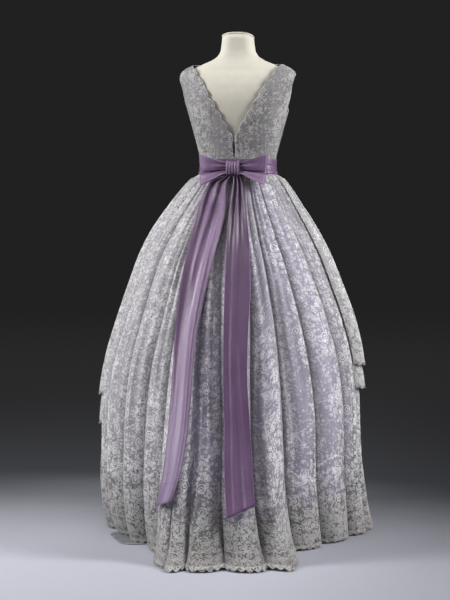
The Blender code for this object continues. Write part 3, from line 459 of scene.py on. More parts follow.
def sine(value):
    return value.use("SINE")


def size_of(value):
    return value.use("ABSOLUTE")


def blend(share, first, second):
    return from_node(share.tree, "ShaderNodeMix", 2, {0: share, 6: first, 7: second}, data_type="RGBA")


def vectors(operation, first, second):
    return from_node(first.tree, "ShaderNodeVectorMath", 0, {0: first, 1: second}, operation=operation)


def scaled(vector, amount):
    return from_node(vector.tree, "ShaderNodeVectorMath", 0, {0: vector, "Scale": amount}, operation="SCALE")


def noise(vector, scale, detail=2.0, roughness=0.5):
    inputs = {"Scale": scale, "Detail": detail, "Roughness": roughness, "Vector": vector}
    return from_node(vector.tree, "ShaderNodeTexNoise", 0, inputs)


def parts_of(vector):
    first = from_node(vector.tree, "ShaderNodeSeparateXYZ", 0, {0: vector})
    return [Field(vector.tree, output) for output in first.socket.node.outputs]


def vertex_value(tree, label):
    return from_node(tree, "ShaderNodeAttribute", "Fac", {}, attribute_name=label)


def new_material(name):
    made = bpy.data.materials.new(name)
    made.use_nodes = True
    return made, made.node_tree.nodes["Principled BSDF"]


def cloth_material(name):
    """A new material with its shader, its cloth coordinates and their two parts in metres."""
    made, shader = new_material(name)
    place = from_node(made.node_tree, "ShaderNodeUVMap", 0, {}, uv_map="cloth")
    around, along, _ = parts_of(place)
    return made, shader, place, around, along


def object_place(made):
    return from_node(made.node_tree, "ShaderNodeTexCoord", "Object", {})


def set_looks(shader, looks, height, distance, strength):
    """Feeds a shader's inputs, with a bump of a height's pattern."""
    inputs = {"Strength": strength, "Distance": distance, "Height": height}
    looks["Normal"] = from_node(height.tree, "ShaderNodeBump", 0, inputs)
    for label, value in looks.items():
        feed(shader.inputs[label], value)


def net_weave(around, along, pitch):
    leaning = [sine(run * (TURN / pitch)) for run in (around + along * NET_LEAN, around - along * NET_LEAN)]
    return leaning[0] * leaning[1]


# Lace motifs, each from 0 in open net to 1 in dense clothwork
def scattered(place, pitch, randomness, shift=0.0):
    """Coordinates from the nearest of many scattered middles, in metres, and three random numbers."""
    moved = vectors("ADD", place, (shift, 0.37 * shift, 0.0))
    inputs = {"Scale": 1.0 / pitch, "Randomness": randomness, "Vector": moved}
    middle = from_node(place.tree, "ShaderNodeTexVoronoi", "Position", inputs, voronoi_dimensions="2D")
    x, y, _ = parts_of(vectors("SUBTRACT", moved, middle))
    return x, y, parts_of(Field(place.tree, middle.socket.node.outputs["Color"]))


def radius_of(x, y):
    return (x * x + y * y).use("SQRT")


def outlined(gap, line):
    return soft(size_of(gap), line, line * 0.3)


def flower(x, y, size, petals, turn, line):
    """A rosette of outlined petals round a ringed eye."""
    radius = radius_of(x, y)
    lobes = size_of(sine((y.use("ARCTAN2", x) + turn) * (0.5 * petals)))
    edge = (lobes * 0.42 + 0.58) * size
    inside = soft(edge - radius, 0.0, line)
    spokes = soft(lobes, 0.3, 0.1) * soft(radius, size * 0.32, size * 0.42)
    return most(inside * 0.2, outlined(radius - edge, line), inside * spokes * 0.8,
                outlined(radius - size * 0.27, line))


def leaf(x, y, length, width, lean, line):
    """A pointed leaf with an outline and a vein; its lean is a cosine and a sine."""
    c, s = lean
    across = size_of(y * c - x * s)
    half = (1.0 - ((x * c + y * s) / length).use("POWER", 2.0)) * width
    inside = soft(half - across, 0.0, line)
    rim = outlined(half - across, line) * soft(half, -width * 0.3, width * 0.1)
    return most(inside * 0.25, rim, soft(across, line * 0.8, line * 0.2) * inside)


def scroll(x, y, size, turn, pitch):
    """A spiral of corded line."""
    radius = radius_of(x, y)
    winding = (radius / pitch + (y.use("ARCTAN2", x) + turn) / TURN).use("FRACT")
    return soft(size_of(winding - 0.5), 0.17, 0.06) * soft(radius, size, size * 0.88)


def fleck(x, y, size, turn, line):
    """A small crescent of thread."""
    arc = soft(sine(y.use("ARCTAN2", x) + turn), -0.75, -0.1)
    return outlined(radius_of(x, y) - size, line) * arc


def lace_border(around, along, border):
    """Two garlands, and along the hem a row of flowers and sprays between two scalloped lines."""
    garland_wave, second_wave, cell_width = 0.29, 0.41, 0.052
    beads = size_of(sine(around * (math.pi / 0.0115))) * 0.005
    garland = along - (sine(around * (TURN / garland_wave)) * 0.03 + border + 0.165)
    second = along - (sine(around * (TURN / second_wave) + 1.9) * 0.045 + border + 0.325)
    cell = (around / cell_width).use("FRACT") * cell_width - 0.5 * cell_width
    height, aside = along - border * 0.58, 0.5 * cell_width - size_of(cell)
    wave = size_of(sine(around * (math.pi / SCALLOP))) * 0.005
    return (
        soft(size_of(garland - beads), 0.0018, 0.0006),
        soft(size_of(second + beads), 0.0016, 0.0006) * 0.8,
        flower(cell, height, 0.0165, 6.0, 0.0, 0.0012),
        scroll(cell, height, 0.0075, 0.0, 0.005),
        leaf(aside, along - border * 0.5, 0.015, 0.0042, (math.cos(0.9), math.sin(0.9)), 0.001),
        soft(size_of(along - 0.0085 - wave), 0.0018, 0.0006),
        soft(size_of(along - border - wave), 0.0016, 0.0006),
    )


def lace_pattern(place, around, along, border, richness):
    """The whole lace: bands of bouquets, sprigs, scrolls, garlands and a flowered border."""
    lane = (around + (noise(place, 6.0) - 0.5) * 0.14) * (math.pi / 0.138) + sine(along * 5.0) * 0.5
    band = soft(size_of(sine(lane)), 0.45, 0.95)
    clump = soft(noise(place, 13.0, 1.0), 0.46, 0.58)
    dense = band * (clump * 0.62 + 0.3)
    if border:
        low = soft(along, border + 0.34, border + 0.02)
        high = 1.0 - soft(along, 0.55, 0.85) * 0.45
        dense = most(dense * high, low * (clump * 0.5 + 0.48))
    dense = dense * richness
    x, y, dice = scattered(place, 0.03, 0.8)
    bloom = flower(x, y, dice[1] * 0.004 + 0.0085, 5.0, dice[2] * DICE_TURN, 0.0012)
    bloom = bloom * soft(dense - dice[0] * 0.8, -0.1, 0.02)
    x, y, dice = scattered(place, 0.015, 0.9, 1.3)
    rosette = flower(x, y, dice[1] * 0.0016 + 0.0042, 6.0, dice[2] * DICE_TURN, 0.0009)
    rosette = rosette * soft(dense - dice[0] * 0.85, -0.16, -0.04)
    x, y, dice = scattered(place, 0.0125, 0.9, 2.9)
    lean = [(dice[2] * DICE_TURN).use(function) for function in ("COSINE", "SINE")]
    sprig = leaf(x, y, 0.0044, 0.0019, lean, 0.0008) * soft(dense - dice[0], -0.42, -0.26)
    x, y, dice = scattered(place, 0.0088, 0.85, 6.1)
    tick = fleck(x, y, 0.0018, dice[1] * DICE_TURN, 0.001) * soft(dense - dice[0] * 1.1, -0.52, -0.4)
    x, y, dice = scattered(place, 0.058, 0.8, 4.7)
    curl = scroll(x, y, dice[1] * 0.006 + 0.015, dice[2] * DICE_TURN, 0.0074)
    if border:
        curl = curl * soft(dice[0] - low * 0.55, 0.2, 0.1)
    else:
        curl = curl * soft(dice[0], 0.12, 0.08) * 0.6
    pattern = most(bloom, rosette * 0.95, sprig * 0.72, tick * 0.58, curl)
    if border:
        pattern = most(pattern, *lace_border(around, along, border))
    return pattern, dense


def lace_material(name, thread, ground, foot=(1.0, 1.0, 1.0), top=(1.0, 1.0, 1.0), border=0.0,
                  richness=1.0, opening=0.0):
    """Lace over net: its threads and ground, with painted shade and light that run from the hem's foot to
    higher up.
    """
    made, shader, place, around, along = cloth_material(name)
    pattern, dense = lace_pattern(place, around, along, border, richness)
    veil, lit = (vertex_value(made.node_tree, label) for label in ("veil", "lit"))
    net = soft(net_weave(around, along, 0.0021), -0.25, 0.45)
    stretched = from_node(place.tree, "ShaderNodeCombineXYZ", 0, {0: around * 95.0, 1: along * 3.0})
    streaks = noise(stretched, 1.0, 3.0, 0.6)
    uneven = (noise(place, 26.0, 3.0, 0.65) - 0.5) * 0.35 + (streaks - 0.5) * 0.45
    # Gaps in the openwork let more show through, and the ground beside them gets painted shade for the
    # shadowed lining behind
    gaps_and_painted_shade = soft(noise(place, 210.0, 1.0), 0.5, 0.62) * (dense * 0.7 + 0.3)
    ground_cover = (1.0 - opening) * (0.72 + net * 0.5) + veil * 0.3 + uneven * 0.6 - gaps_and_painted_shade * 0.22
    ground_cover = ground_cover + (1.0 - lit) * 0.45 + soft(along, 0.17, 0.09) * 0.5
    dark, light = ([part * share for part, share in zip(ground, shares)]
                   for shares in ((0.5, 0.49, 0.52), (1.22, 1.22, 1.22)))
    tint = blend(soft(uneven - gaps_and_painted_shade * 0.44, -0.34, 0.2), dark, light)
    # Painted shade towards the hem's foot and painted light higher up, less of it on the threads
    painted_shade_by_height = blend(soft(along, 0.0, 0.4), foot, top)
    thread_painted_shade = blend(soft(along, 0.0, 0.3), [0.33 + 0.6 * value for value in foot], top)
    threads = vectors("MULTIPLY", thread_painted_shade, thread)
    colour = blend(soft(pattern, 0.14, 0.66), vectors("MULTIPLY", tint, painted_shade_by_height), threads)
    # Its colour is scaled by the painted light and shade of the folds in lit
    set_looks(shader, {
        "Base Color": scaled(colour, lit * 0.6 + 0.4),
        "Alpha": most(pattern * 0.96, ground_cover).use("MINIMUM", 1.0),
        "Roughness": 0.62,
        "Sheen Weight": 0.2,
        "Sheen Roughness": 0.45,
        "Specular IOR Level": 0.3,
    }, pattern * 0.8 + net * 0.2 + streaks * 0.3, 0.0006, 1.0)
    return made


def woven_material(name, dark, light, roughness, pitch, sheen=0.3, slub=0.35, bump=0.00072, painted_highlight_colour=None):
    """A plain weave with slubs and uneven dye; given a painted highlight colour, it takes painted light and
    shade from its pieces' lit values and turns to that colour in its painted highlights.
    """
    made, shader, place, around, along = cloth_material(name)
    threads = sine(around * (TURN / pitch)) * sine(along * (TURN / pitch))
    stretched = from_node(place.tree, "ShaderNodeCombineXYZ", 0, {0: around * 4.0, 1: along * 60.0})
    slubs = noise(stretched, 6.0, 3.0, 0.6)
    share = soft(slubs * slub + noise(place, 7.0) * (1.0 - slub) + threads * 0.06, 0.25, 0.75)
    colour = blend(share, dark, light)
    if painted_highlight_colour:
        satin_painted_light = vertex_value(made.node_tree, "lit")
        colour = scaled(blend(soft(satin_painted_light, 0.9, 1.8), colour, painted_highlight_colour), satin_painted_light)
    set_looks(shader, {
        "Base Color": colour,
        "Roughness": slubs * 0.14 + (roughness - 0.07),
        "Sheen Weight": sheen,
        "Sheen Roughness": 0.4,
    }, threads * 0.5 + slubs * 0.6, bump, 0.6)
    return made


def net_material(name, colour, cover):
    """Sheer net with fine holes and a little unevenness."""
    made, shader, place, around, along = cloth_material(name)
    holes = soft(net_weave(around, along, 0.0026), -0.2, 0.4)
    cloudy = noise(place, 15.0)
    set_looks(shader, {
        "Base Color": blend(cloudy, [part * 0.8 for part in colour], colour),
        "Alpha": (holes * 0.5 + cloudy * 0.3 + cover).use("MINIMUM", 1.0),
        "Roughness": 0.7,
        "Sheen Weight": 0.4,
    }, holes, 0.0004, 0.6)
    return made


def surface_material(name, dark, light, roughness, scale, bump, metallic=0.0, sheen=0.0, stretch=1.0):
    """A surface with fine grain, mottling and slight wear, from object coordinates."""
    made, shader = new_material(name)
    place = object_place(made)
    grain = from_node(place.tree, "ShaderNodeMapping", 0, {"Vector": place, "Scale": (1.0, 1.0, stretch)})
    fine = noise(grain, scale, 4.0, 0.65)
    broad = noise(place, scale * 0.04)
    set_looks(shader, {
        "Base Color": blend(soft(fine * 0.6 + broad * 0.4, 0.3, 0.7), dark, light),
        "Roughness": fine * 0.2 + (roughness - 0.1),
        "Metallic": metallic,
        "Sheen Weight": sheen,
    }, fine, bump, 0.7)
    return made


# The skirt's lace darkens towards the hem with painted shade and is brighter higher up with painted light;
# the tiers' lace has a little painted shade at its hems
LACE = lace_material(
    "skirt_lace", (0.85, 0.843, 0.843), (0.425, 0.413, 0.425), (0.29, 0.277, 0.255), (1.2, 1.195, 1.215),
    border=0.06, opening=0.5,
)
TIER_LACE = lace_material(
    "tier_lace", (0.85, 0.843, 0.843), (0.425, 0.413, 0.425), (0.85, 0.84, 0.83), border=0.05, opening=0.05,
)
BODICE_LACE = lace_material("bodice_lace", (0.47, 0.46, 0.455), (0.245, 0.237, 0.24), richness=0.9)
CORD = woven_material("lace_cord", (0.36, 0.35, 0.355), (0.5, 0.49, 0.495), 0.6, 0.0012)
HEM_CORD = woven_material("hem_cord", (0.25, 0.238, 0.222), (0.4, 0.385, 0.365), 0.65, 0.0012)
LILAC = woven_material("lilac_taffeta", (0.47, 0.385, 0.64), (0.6, 0.505, 0.78), 0.5, 0.0008, 0.1)
# Satin with painted light and shade from its pieces, and a paler painted highlight colour
SATIN = woven_material(
    "mauve_satin", (0.112, 0.057, 0.128), (0.161, 0.088, 0.184), 0.36, 0.0005, 0.08, 0.5, 0.00024,
    painted_highlight_colour=(0.152, 0.118, 0.176),
)
PIPING = woven_material("satin_edge", (0.2, 0.12, 0.22), (0.28, 0.18, 0.31), 0.36, 0.0005, 0.1, 0.5, 0.00024)
NET = net_material("petticoat_net_cloth", (0.14, 0.15, 0.175), 0.5)
NET_EDGE = woven_material("net_binding", (0.3, 0.31, 0.35), (0.42, 0.43, 0.47), 0.7, 0.0012)
JERSEY = surface_material(
    "cream_jersey", (0.49, 0.465, 0.395), (0.53, 0.505, 0.435), 0.72, 900.0, 0.00012, sheen=0.1, stretch=2.2,
)
CAP = surface_material(
    "neck_cap_cover", (0.56, 0.52, 0.45), (0.62, 0.58, 0.51), 0.6, 700.0, 0.0001, sheen=0.1,
)
STEEL = surface_material(
    "painted_steel", (0.05, 0.05, 0.054), (0.075, 0.075, 0.08), 0.42, 320.0, 0.00006, 0.5,
)
SLIDER = surface_material("nickel", (0.2, 0.2, 0.21), (0.32, 0.32, 0.33), 0.35, 500.0, 0.00003, 1.0)
TAPE = surface_material("zip_tape_cloth", (0.035, 0.032, 0.04), (0.06, 0.056, 0.066), 0.8, 1400.0, 0.0001)
LINING = surface_material(
    "strap_lining_cloth", (0.46, 0.44, 0.5), (0.58, 0.56, 0.62), 0.7, 1100.0, 0.0001, sheen=0.2,
)


def ride(piece, node):
    """The piece rides on the gown's one body and stands for its CAD node."""
    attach(piece, "root")
    if node:
        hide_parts(node)


def cloth(piece, node, length, trims=()):
    """Also rides its trims on the body, and works out the width that its area gives at its length, but keeps
    nothing of it.
    """
    ride(piece, node)
    for trim in trims:
        ride(trim, None)
    area = sum(face.area for face in piece.data.polygons)
    area / length


# Scalloped edgings with a raised cord, one for each lace hem
HEM_CORD_RADIUS, INNER_CORD_RADIUS, EDGE_STEP = 0.00075, 0.0004, 0.0026


def scallops(run):
    """The edge's wave along its run: 0 in a notch and 1 at a tip, a little uneven."""
    uneven = 0.86 + 0.14 * np.sin(run * 61.0 + 1.3 * np.sin(run * 23.0))
    small = 0.1 * np.abs(np.sin(np.pi * run / (SCALLOP / 4.0)))
    return np.clip(np.abs(np.sin(np.pi * run / SCALLOP)) ** 0.65 * uneven + small, 0.0, 1.0)


def edging(name, surface, places, run, veil):
    """surface(place, part) gives points from the shell's last row, part 0, to the full drop, part 1."""
    even = np.linspace(run[0], run[-1], int(run[-1] / EDGE_STEP))
    place = np.interp(even, run, places)
    drop = 0.22 + 0.78 * scallops(even)
    parts = (0.0, 0.35, 0.7, 1.0)
    points = np.stack([surface(place, drop * part) for part in parts], axis=0)
    uv = np.stack([np.stack((even, EDGE * (1.0 - drop * part)), -1) for part in parts], axis=0)
    strip = grid(name, points, LACE, uv=uv, veil=veil)
    cord = joined(name + "_cord", [tube(points[-1], HEM_CORD_RADIUS, 4)], HEM_CORD)
    inner = points[0] + (points[0] - points[1]) * 0.2
    return strip, cord, joined(name + "_inner_cord", [tube(inner, INNER_CORD_RADIUS, 3)], HEM_CORD)


def folded_u(places, points):
    """Each fold's own cloth coordinate: what lies hidden in a pleat is left out of the pattern."""
    run = distances(points, 1)
    index = np.floor(0.5 * (places[:-1] + places[1:])).astype(int)
    crest = index + FOLDS[index % len(FOLDS), 3]
    near = np.abs(places[None, :] - crest[:, None]).argmin(axis=1)
    start = run[-1][near]
    return start + run[:, :-1] - run[:, near], start + run[:, 1:] - run[:, near]


def veil_at(angle):
    """The lace lies double over the wearer's left side, and single over the right."""
    angle = wrap(np.asarray(angle, float))
    return 0.1 + 0.62 * ease((angle - 2.0) / 22.0) * ease((150.0 - angle) / 40.0)


# Lace skirt
LEVELS = np.concatenate((
    np.linspace(SKIRT_TOP, 1.0, 18, endpoint=False),
    np.linspace(1.0, 0.2, 42, endpoint=False),
    np.linspace(0.2, HEM_TURN, 16, endpoint=False),
    np.linspace(HEM_TURN, EDGE, 5),
))


def fold_light(places, heights):
    """Painted light and shade for the lace: 1 on the crests, 0 deep in the valleys and creases, with painted
    shade at the top under the waistband, over the train, on the wearer's left side and under the knot, and
    painted light between the tails and high on the wearer's right.
    """
    rise, _ = fold_rise(places)
    # Painted shade deep in the creases, and at the top under the waistband
    creases = np.clip(1.0 + crease_depth(places, heights) / 0.02, 0.0, 1.0)
    waist = 0.45 + 0.55 * ease((SKIRT_TOP - 0.006 - heights) / 0.05)
    angles = wrap(fold_angle(places, heights))
    # Painted light between the tails and high on the wearer's right; painted shade over the train, on the
    # wearer's left side and under the knot
    between_tails_painted_light = 0.85 * bell(angles, 5.0, 8.0) * ease((0.95 - heights) / 0.15)
    upper_right_painted_light = 1.0 + 0.45 * bell(angles, -32.0, 16.0) * ease((heights - 0.7) / 0.2)
    train_painted_shade = 1.0 - 0.85 * bell(angles, -4.0, 11.0) * bell(heights, 0.09, 0.13)
    left_side = 1.0 - 0.24 * ease((angles + 5.0) / 30.0)
    knot_painted_shadow = 1.0 - bell(angles, 1.5, 6.5) * ease((heights - 0.9) / 0.09)
    lit = np.clip(1.15 * rise**0.9 * creases - 0.15 + between_tails_painted_light, 0.0, 1.0)
    return lit * upper_right_painted_light * train_painted_shade * left_side * knot_painted_shadow * waist


def lace_shell(name, node, places, points, material, veil, lit, edge, edge_veil, length):
    """A gathered lace sheet over the folds, with the scalloped edging that goes with it."""
    v = distances(points, 0)
    v = v[-1] - v + EDGE
    uv, corner_u = np.stack((v, v), axis=-1), folded_u(places, points)
    shell = grid(name, points, material, uv=uv, corner_u=corner_u, veil=veil, lit=lit)
    trims = edging(node + "_edging", edge, places, distances(points, 1)[-1], edge_veil)
    cloth(shell, node, length, trims)


def skirt_edge(place, part):
    return skirt_surface(place, EDGE * (1.0 - part))


def lace_skirt(node, start, end):
    places = places_between(start, end, 22)
    place, level = places[None, :], LEVELS[:, None]
    veil = veil_at(fold_angle(places, np.full_like(places, 0.5)))
    lace_shell(
        node + "_lace", node, places, skirt_surface(place, level), LACE, veil, fold_light(place, level),
        skirt_edge, float(veil.mean()), SKIRT_LENGTH,
    )


SKIRT_LENGTH = 1.15
lace_skirt("skirt_back", -SIDE_SEAM, SIDE_SEAM)
lace_skirt("skirt_front", SIDE_SEAM, 360.0 - SIDE_SEAM)

# Front tiers: name, hem at the wearer's left and right, stand-off at the head and hem, and levels
TIERS = (
    ("lace_tier_upper", 0.405, 0.512, 0.0026, 0.0135, (1.083, 1.01, 0.88, 0.7)),
    ("lace_tier_lower", 0.312, 0.44, 0.0002, 0.0072, (0.66,)),
)
TIER_NOTCH, TIER_LIFT, TIER_TURN_IN, TIER_RIPPLE = 0.01, 0.007, 6.0, 0.0016
TIER_VEIL, TIER_EDGE_VEIL, TIER_LIGHT = 0.25, 0.4, 0.25
LACE_WALL = 0.0015


def tier_surface(tier, place, part):
    """Points of a tier from its head, part 0, to its hem, part 1."""
    _, left, right, off_head, off_hem, heights = tier
    place, part = np.broadcast_arrays(np.asarray(place, float), np.asarray(part, float))
    angle = fold_angle(place, np.full(place.shape, 0.4))
    across = ease(0.5 * (1.0 + np.cos(np.radians(angle - TIER_SIDE))))
    rise, _ = fold_rise(place)
    hem = right + (left - right) * across + TIER_NOTCH * (1.0 - rise)
    level = heights[0] + (hem - heights[0]) * part
    number, last = len(heights), heights[-1]
    index = np.interp(level, [0.0, *heights[::-1]], [number - 1.0, *range(number)[::-1]])
    below = (last - level) / np.maximum(last - hem, 1e-6)
    index = np.where(level < last, number - 1 + 2.0 * below, index)
    stand_off = off_head + (off_hem - off_head) * ease(1.3 * index / (number + 1)) + LACE_WALL
    stand_off = stand_off + TIER_LIFT * ease(part * part)
    inward = np.minimum(angle - TIER_SIDE, 360.0 - TIER_SIDE - angle)
    turned_in = LACE_WALL * 0.3
    stand_off = turned_in + (stand_off - turned_in) * ease(1.0 + inward / TIER_TURN_IN)
    ripple = TIER_RIPPLE * np.sin(place * TURN * 2.1 + 2.0 * np.sin(level * 7.0)) * ease(part * 1.5)
    return skirt_surface(place, level, stand_off + ripple, creased=0.5)


def lace_tier(tier):
    node = tier[0]
    places = places_between(TIER_SIDE - TIER_TURN_IN, 360.0 - TIER_SIDE + TIER_TURN_IN, 16)
    length = tier[5][0] - 0.5 * (tier[1] + tier[2])
    share = EDGE / length
    parts = np.linspace(0.0, 1.0 - share, 46 if node.endswith("upper") else 22)
    place, part = places[None, :], parts[:, None]
    # The tier takes the folds' painted light and shade, never below TIER_LIGHT
    lace_shell(
        node + "_lace", node, places, tier_surface(tier, place, part), TIER_LACE, TIER_VEIL,
        TIER_LIGHT + (1.0 - TIER_LIGHT) * fold_light(place, np.full_like(part, 0.8)),
        lambda place, part: tier_surface(tier, place, 1.0 - share + share * part), TIER_EDGE_VEIL,
        length,
    )


for tier in TIERS:
    lace_tier(tier)

# Underskirt and petticoat
UNDER_TOP, UNDER_FOOT = 1.07, 0.03
VALLEY_TURNS = (-30.0, -20.0, -12.0, -6.0, 0.0, 6.0, 12.0, 20.0, 30.0)
FOLDED_WALL, LEAST_GAP, UNDERSKIRT_GAP, PETTICOAT_GAP = 0.002, 0.0008, 0.004, 0.008
# How far the underskirt swells towards the lace: its share, the gap that it leaves and its limit
SWELL_SHARE, SWELL_GAP, SWELL_LIMIT = 0.62, 0.009, 0.03
# The net's ripple, and its rim's wave and thickness and where it lies further out
NET_RIPPLE, RIM_WAVE, RIM_RADIUS, RIM_MIDDLE, RIM_HALF = 0.0022, 0.0008, 0.0009, 54.0, 18.0


def valley_reach(angle, height):
    depth = look_up(SKIRT, 4, height)
    spread = 0.2 + 0.8 * ease((1.0 - height) / 0.4)
    nearby = [skirt_reach(angle + turn * spread, height) for turn in VALLEY_TURNS]
    return np.min(nearby, axis=0) - depth * FOLDS[:, 2].max()


def clear_of(first, last, height):
    return first + (last - first) * ease((UNDER_TOP - height) / 0.06)


def underskirt_reach(angle, height):
    return valley_reach(angle, height) - FOLDED_WALL - clear_of(LEAST_GAP, UNDERSKIRT_GAP, height)


def petticoat_reach(angle, height):
    return underskirt_reach(angle, height) - LACE_WALL - clear_of(LEAST_GAP, PETTICOAT_GAP, height)


def under_heights(high, low):
    middle = 0.95
    return np.concatenate((
        np.linspace(UNDER_TOP, middle, high, endpoint=False), np.linspace(middle, UNDER_FOOT, low),
    ))


def underskirt():
    """Lilac taffeta in folds of its own, which swell towards the lace's crests."""
    heights = under_heights(12, 44)
    places = places_between(-180.0, 180.0, 10)[:-1]
    place, height = np.meshgrid(places, heights)
    lace = skirt_surface(place, height)
    angle = fold_angle(place, height)
    outer = np.hypot(lace[..., 0] - sway(height), lace[..., 1])
    inner = underskirt_reach(angle, height)
    swell = SWELL_SHARE * ease((1.03 - height) / 0.1) * (0.35 + 0.65 * ease((height - 0.02) / 0.25))
    reach = inner + np.minimum(swell * np.maximum(outer - SWELL_GAP - inner, 0.0), SWELL_LIMIT)
    points = polar(angle, reach, height)
    points[..., 0] += sway(height)
    piece = grid("underskirt_lilac_cloth", points, LILAC, closed=True)
    cloth(piece, "underskirt_lilac", UNDER_TOP - UNDER_FOOT)


def petticoat():
    heights = under_heights(10, 30)
    angles = np.linspace(-180.0, 180.0, 361)[:-1]
    angle, height = np.meshgrid(angles, heights)
    ripple = np.sin(np.radians(angle) * 38.0 + 2.0 * np.sin(height * 6.0)) * ease((1.0 - height) / 0.2)
    points = polar(angle, petticoat_reach(angle, height) + NET_RIPPLE * (ripple - 1.0), height)
    points[..., 0] += sway(height)
    swell = ease(1.4 - np.abs(wrap(angles) - RIM_MIDDLE) / RIM_HALF)
    reach = petticoat_reach(angles, np.full_like(angles, UNDER_FOOT))
    let_out = skirt_reach(angles, np.zeros_like(angles)) + 0.03 - reach
    last = []
    for out in (0.0, 0.35, 0.7, 1.0):
        wave = RIM_WAVE * (1.0 + np.sin(np.radians(angles) * 46.0)) * out * swell
        radius = reach + 0.004 * out + swell * (0.004 + out * let_out)
        last.append(polar(angles, radius, LACE_WALL + 0.0006 + wave))
    points = np.concatenate((points, np.stack(last)), axis=0)
    piece = grid("petticoat_net_cloth", points, NET, closed=True)
    rim = joined("petticoat_hem_binding", [tube(points[-1], RIM_RADIUS, 4, closed=True)], NET_EDGE)
    cloth(piece, "petticoat_net", UNDER_TOP, [rim])


underskirt()
petticoat()

# Bodice
BODICE_OFFSET = 0.0025
V_FOOT, SHOULDER_INNER, STRAP_HALF_X = 1.194, 1.4205, 0.132
ZIP_OPENING, SEAM_GAP, UNDERARM = 0.0026, 0.0004, 1.275
EDGE_SCALLOP, SCALLOP_PITCH, STRAP_STAND_OFF = 0.0075, 0.038, 0.0036
PANEL_COLUMNS, LOW_STEPS, HIGH_STEPS = 44, 6, 84
CLOTH, BODICE_LENGTH, CORD_RADIUS, PICOT_STEP, PICOT = 0.0012, 0.31, 0.0009, 0.0018, 0.0045
LACE_VEIL = 0.4
# Rows of the armhole below which its cord starts
BACK_ARM_ROW, FRONT_ARM_ROW = 25, 13
# share, height, back angle, front angle
ARMHOLE = np.array((
    (0.0, 1.275, 90.0, 90.0), (0.15, 1.283, 86.5, 96.0), (0.3, 1.3, 83.0, 110.0),
    (0.5, 1.327, 80.5, 119.0), (0.7, 1.356, 80.0, 120.0), (0.88, 1.383, 82.0, 114.0),
    (1.0, 1.3975, 90.0, 90.0),
))
NECKLINE = np.array((
    (0.0, 0.0, 1.338), (0.25, 0.04, 1.342), (0.5, 0.078, 1.358), (0.75, 0.11, 1.385),
    (1.0, 0.132, 1.4205),
))
BACK_LOW = np.array(((1.1135, 1.1135), (1.14, 1.14), (1.168, 1.168), (V_FOOT, 1.195)))
FRONT_LOW = np.array(
    ((1.1135, 1.1135), (1.14, 1.14), (1.19, 1.18), (1.24, 1.21), (1.29, 1.232), (1.338, 1.25))
)


def angle_at_x(half_x, height, middle=0.0):
    """The angle where the form's section has a given x, searched from its middle line outwards."""
    near, far = np.zeros_like(half_x), np.full_like(half_x, 90.0)
    toward = 1.0 if middle == 0.0 else -1.0
    for _ in range(40):
        halfway = 0.5 * (near + far)
        angle = middle + toward * halfway
        short = form_radius(angle, height) * np.sin(np.radians(angle)) < half_x
        near, far = np.where(short, halfway, near), np.where(short, far, halfway)
    return middle + toward * 0.5 * (near + far)


def back_v_edge(share):
    height = V_FOOT + (SHOULDER_INNER - V_FOOT) * share
    length = share * math.hypot(STRAP_HALF_X, SHOULDER_INNER - V_FOOT)
    wave = np.abs(np.sin(np.pi * length / SCALLOP_PITCH))
    half_x = STRAP_HALF_X * share**1.06 + ZIP_OPENING
    half_x = half_x - EDGE_SCALLOP * wave * ease((1.0 - share) * 9.0) * ease(share * 12.0)
    return np.where(share >= 0.9999, 90.0, angle_at_x(half_x, height)), height


def front_neck_edge(share):
    half_x = look_up(NECKLINE, 1, share)
    height = look_up(NECKLINE, 2, share)
    return np.where(share >= 0.9999, 90.0, angle_at_x(half_x, height, 180.0)), height


def bodice_offset(angle, height):
    side = np.abs(np.sin(np.radians(angle))) ** 6
    return BODICE_OFFSET + LACE_WALL + STRAP_STAND_OFF * side * ease((height - 1.345) / 0.04)


def low_rows(table):
    """Rows below the V or the neckline."""
    return (len(table) - 1) * LOW_STEPS


def bodice_panel(front, sign=1.0):
    """Rows of points of half a panel, from the middle to the side, upwards."""
    low = FRONT_LOW if front else BACK_LOW
    spread = np.linspace(0.0, len(low) - 1.0, low_rows(low) + 1)[:-1]
    middle, side = (np.interp(spread, np.arange(len(low)), low[:, k]) for k in (0, 1))
    part = np.linspace(0.0, 1.0, HIGH_STEPS + 1)
    edge_angle, edge_height = (front_neck_edge if front else back_v_edge)(part)
    under = 0.15 if front else 0.3
    last = low[-1, 1]
    along = np.clip((part - under) / (1.0 - under), 0.0, 1.0)
    arm_height, arm_angle = (look_up(ARMHOLE, k, along) for k in (1, 3 if front else 2))
    side_angle = np.where(part <= under, 90.0, arm_angle)
    side_height = np.where(part <= under, last + (UNDERARM - last) * part / under, arm_height)
    middle_angle = 180.0 if front else 0.0
    inner_angle = np.concatenate((np.full(len(middle), middle_angle), edge_angle))[:, None]
    inner_height = np.concatenate((middle, edge_height))[:, None]
    outer_angle = np.concatenate((np.full(len(side), 90.0), side_angle))[:, None]
    outer_height = np.concatenate((side, side_height))[:, None]
    t = np.linspace(0.0, 1.0, PANEL_COLUMNS + 1)[None, :]
    angle = inner_angle + (outer_angle - inner_angle) * t
    height = inner_height + (outer_height - inner_height) * t
    points = form_surface(angle, height, bodice_offset(angle, height))
    at_side = angle == 90.0
    points[..., 1] = np.where(at_side, -0.5 * SEAM_GAP if front else 0.5 * SEAM_GAP, points[..., 1])
    if not front:
        opening = 0.5 * SEAM_GAP + ZIP_OPENING * ease((height - 1.13) / 0.028)
        points[..., 0] = np.where(angle == 0.0, opening, points[..., 0])
    else:
        points[..., 0] = np.where(angle == 180.0, 0.0, points[..., 0])
    points[..., 0] *= sign
    return points


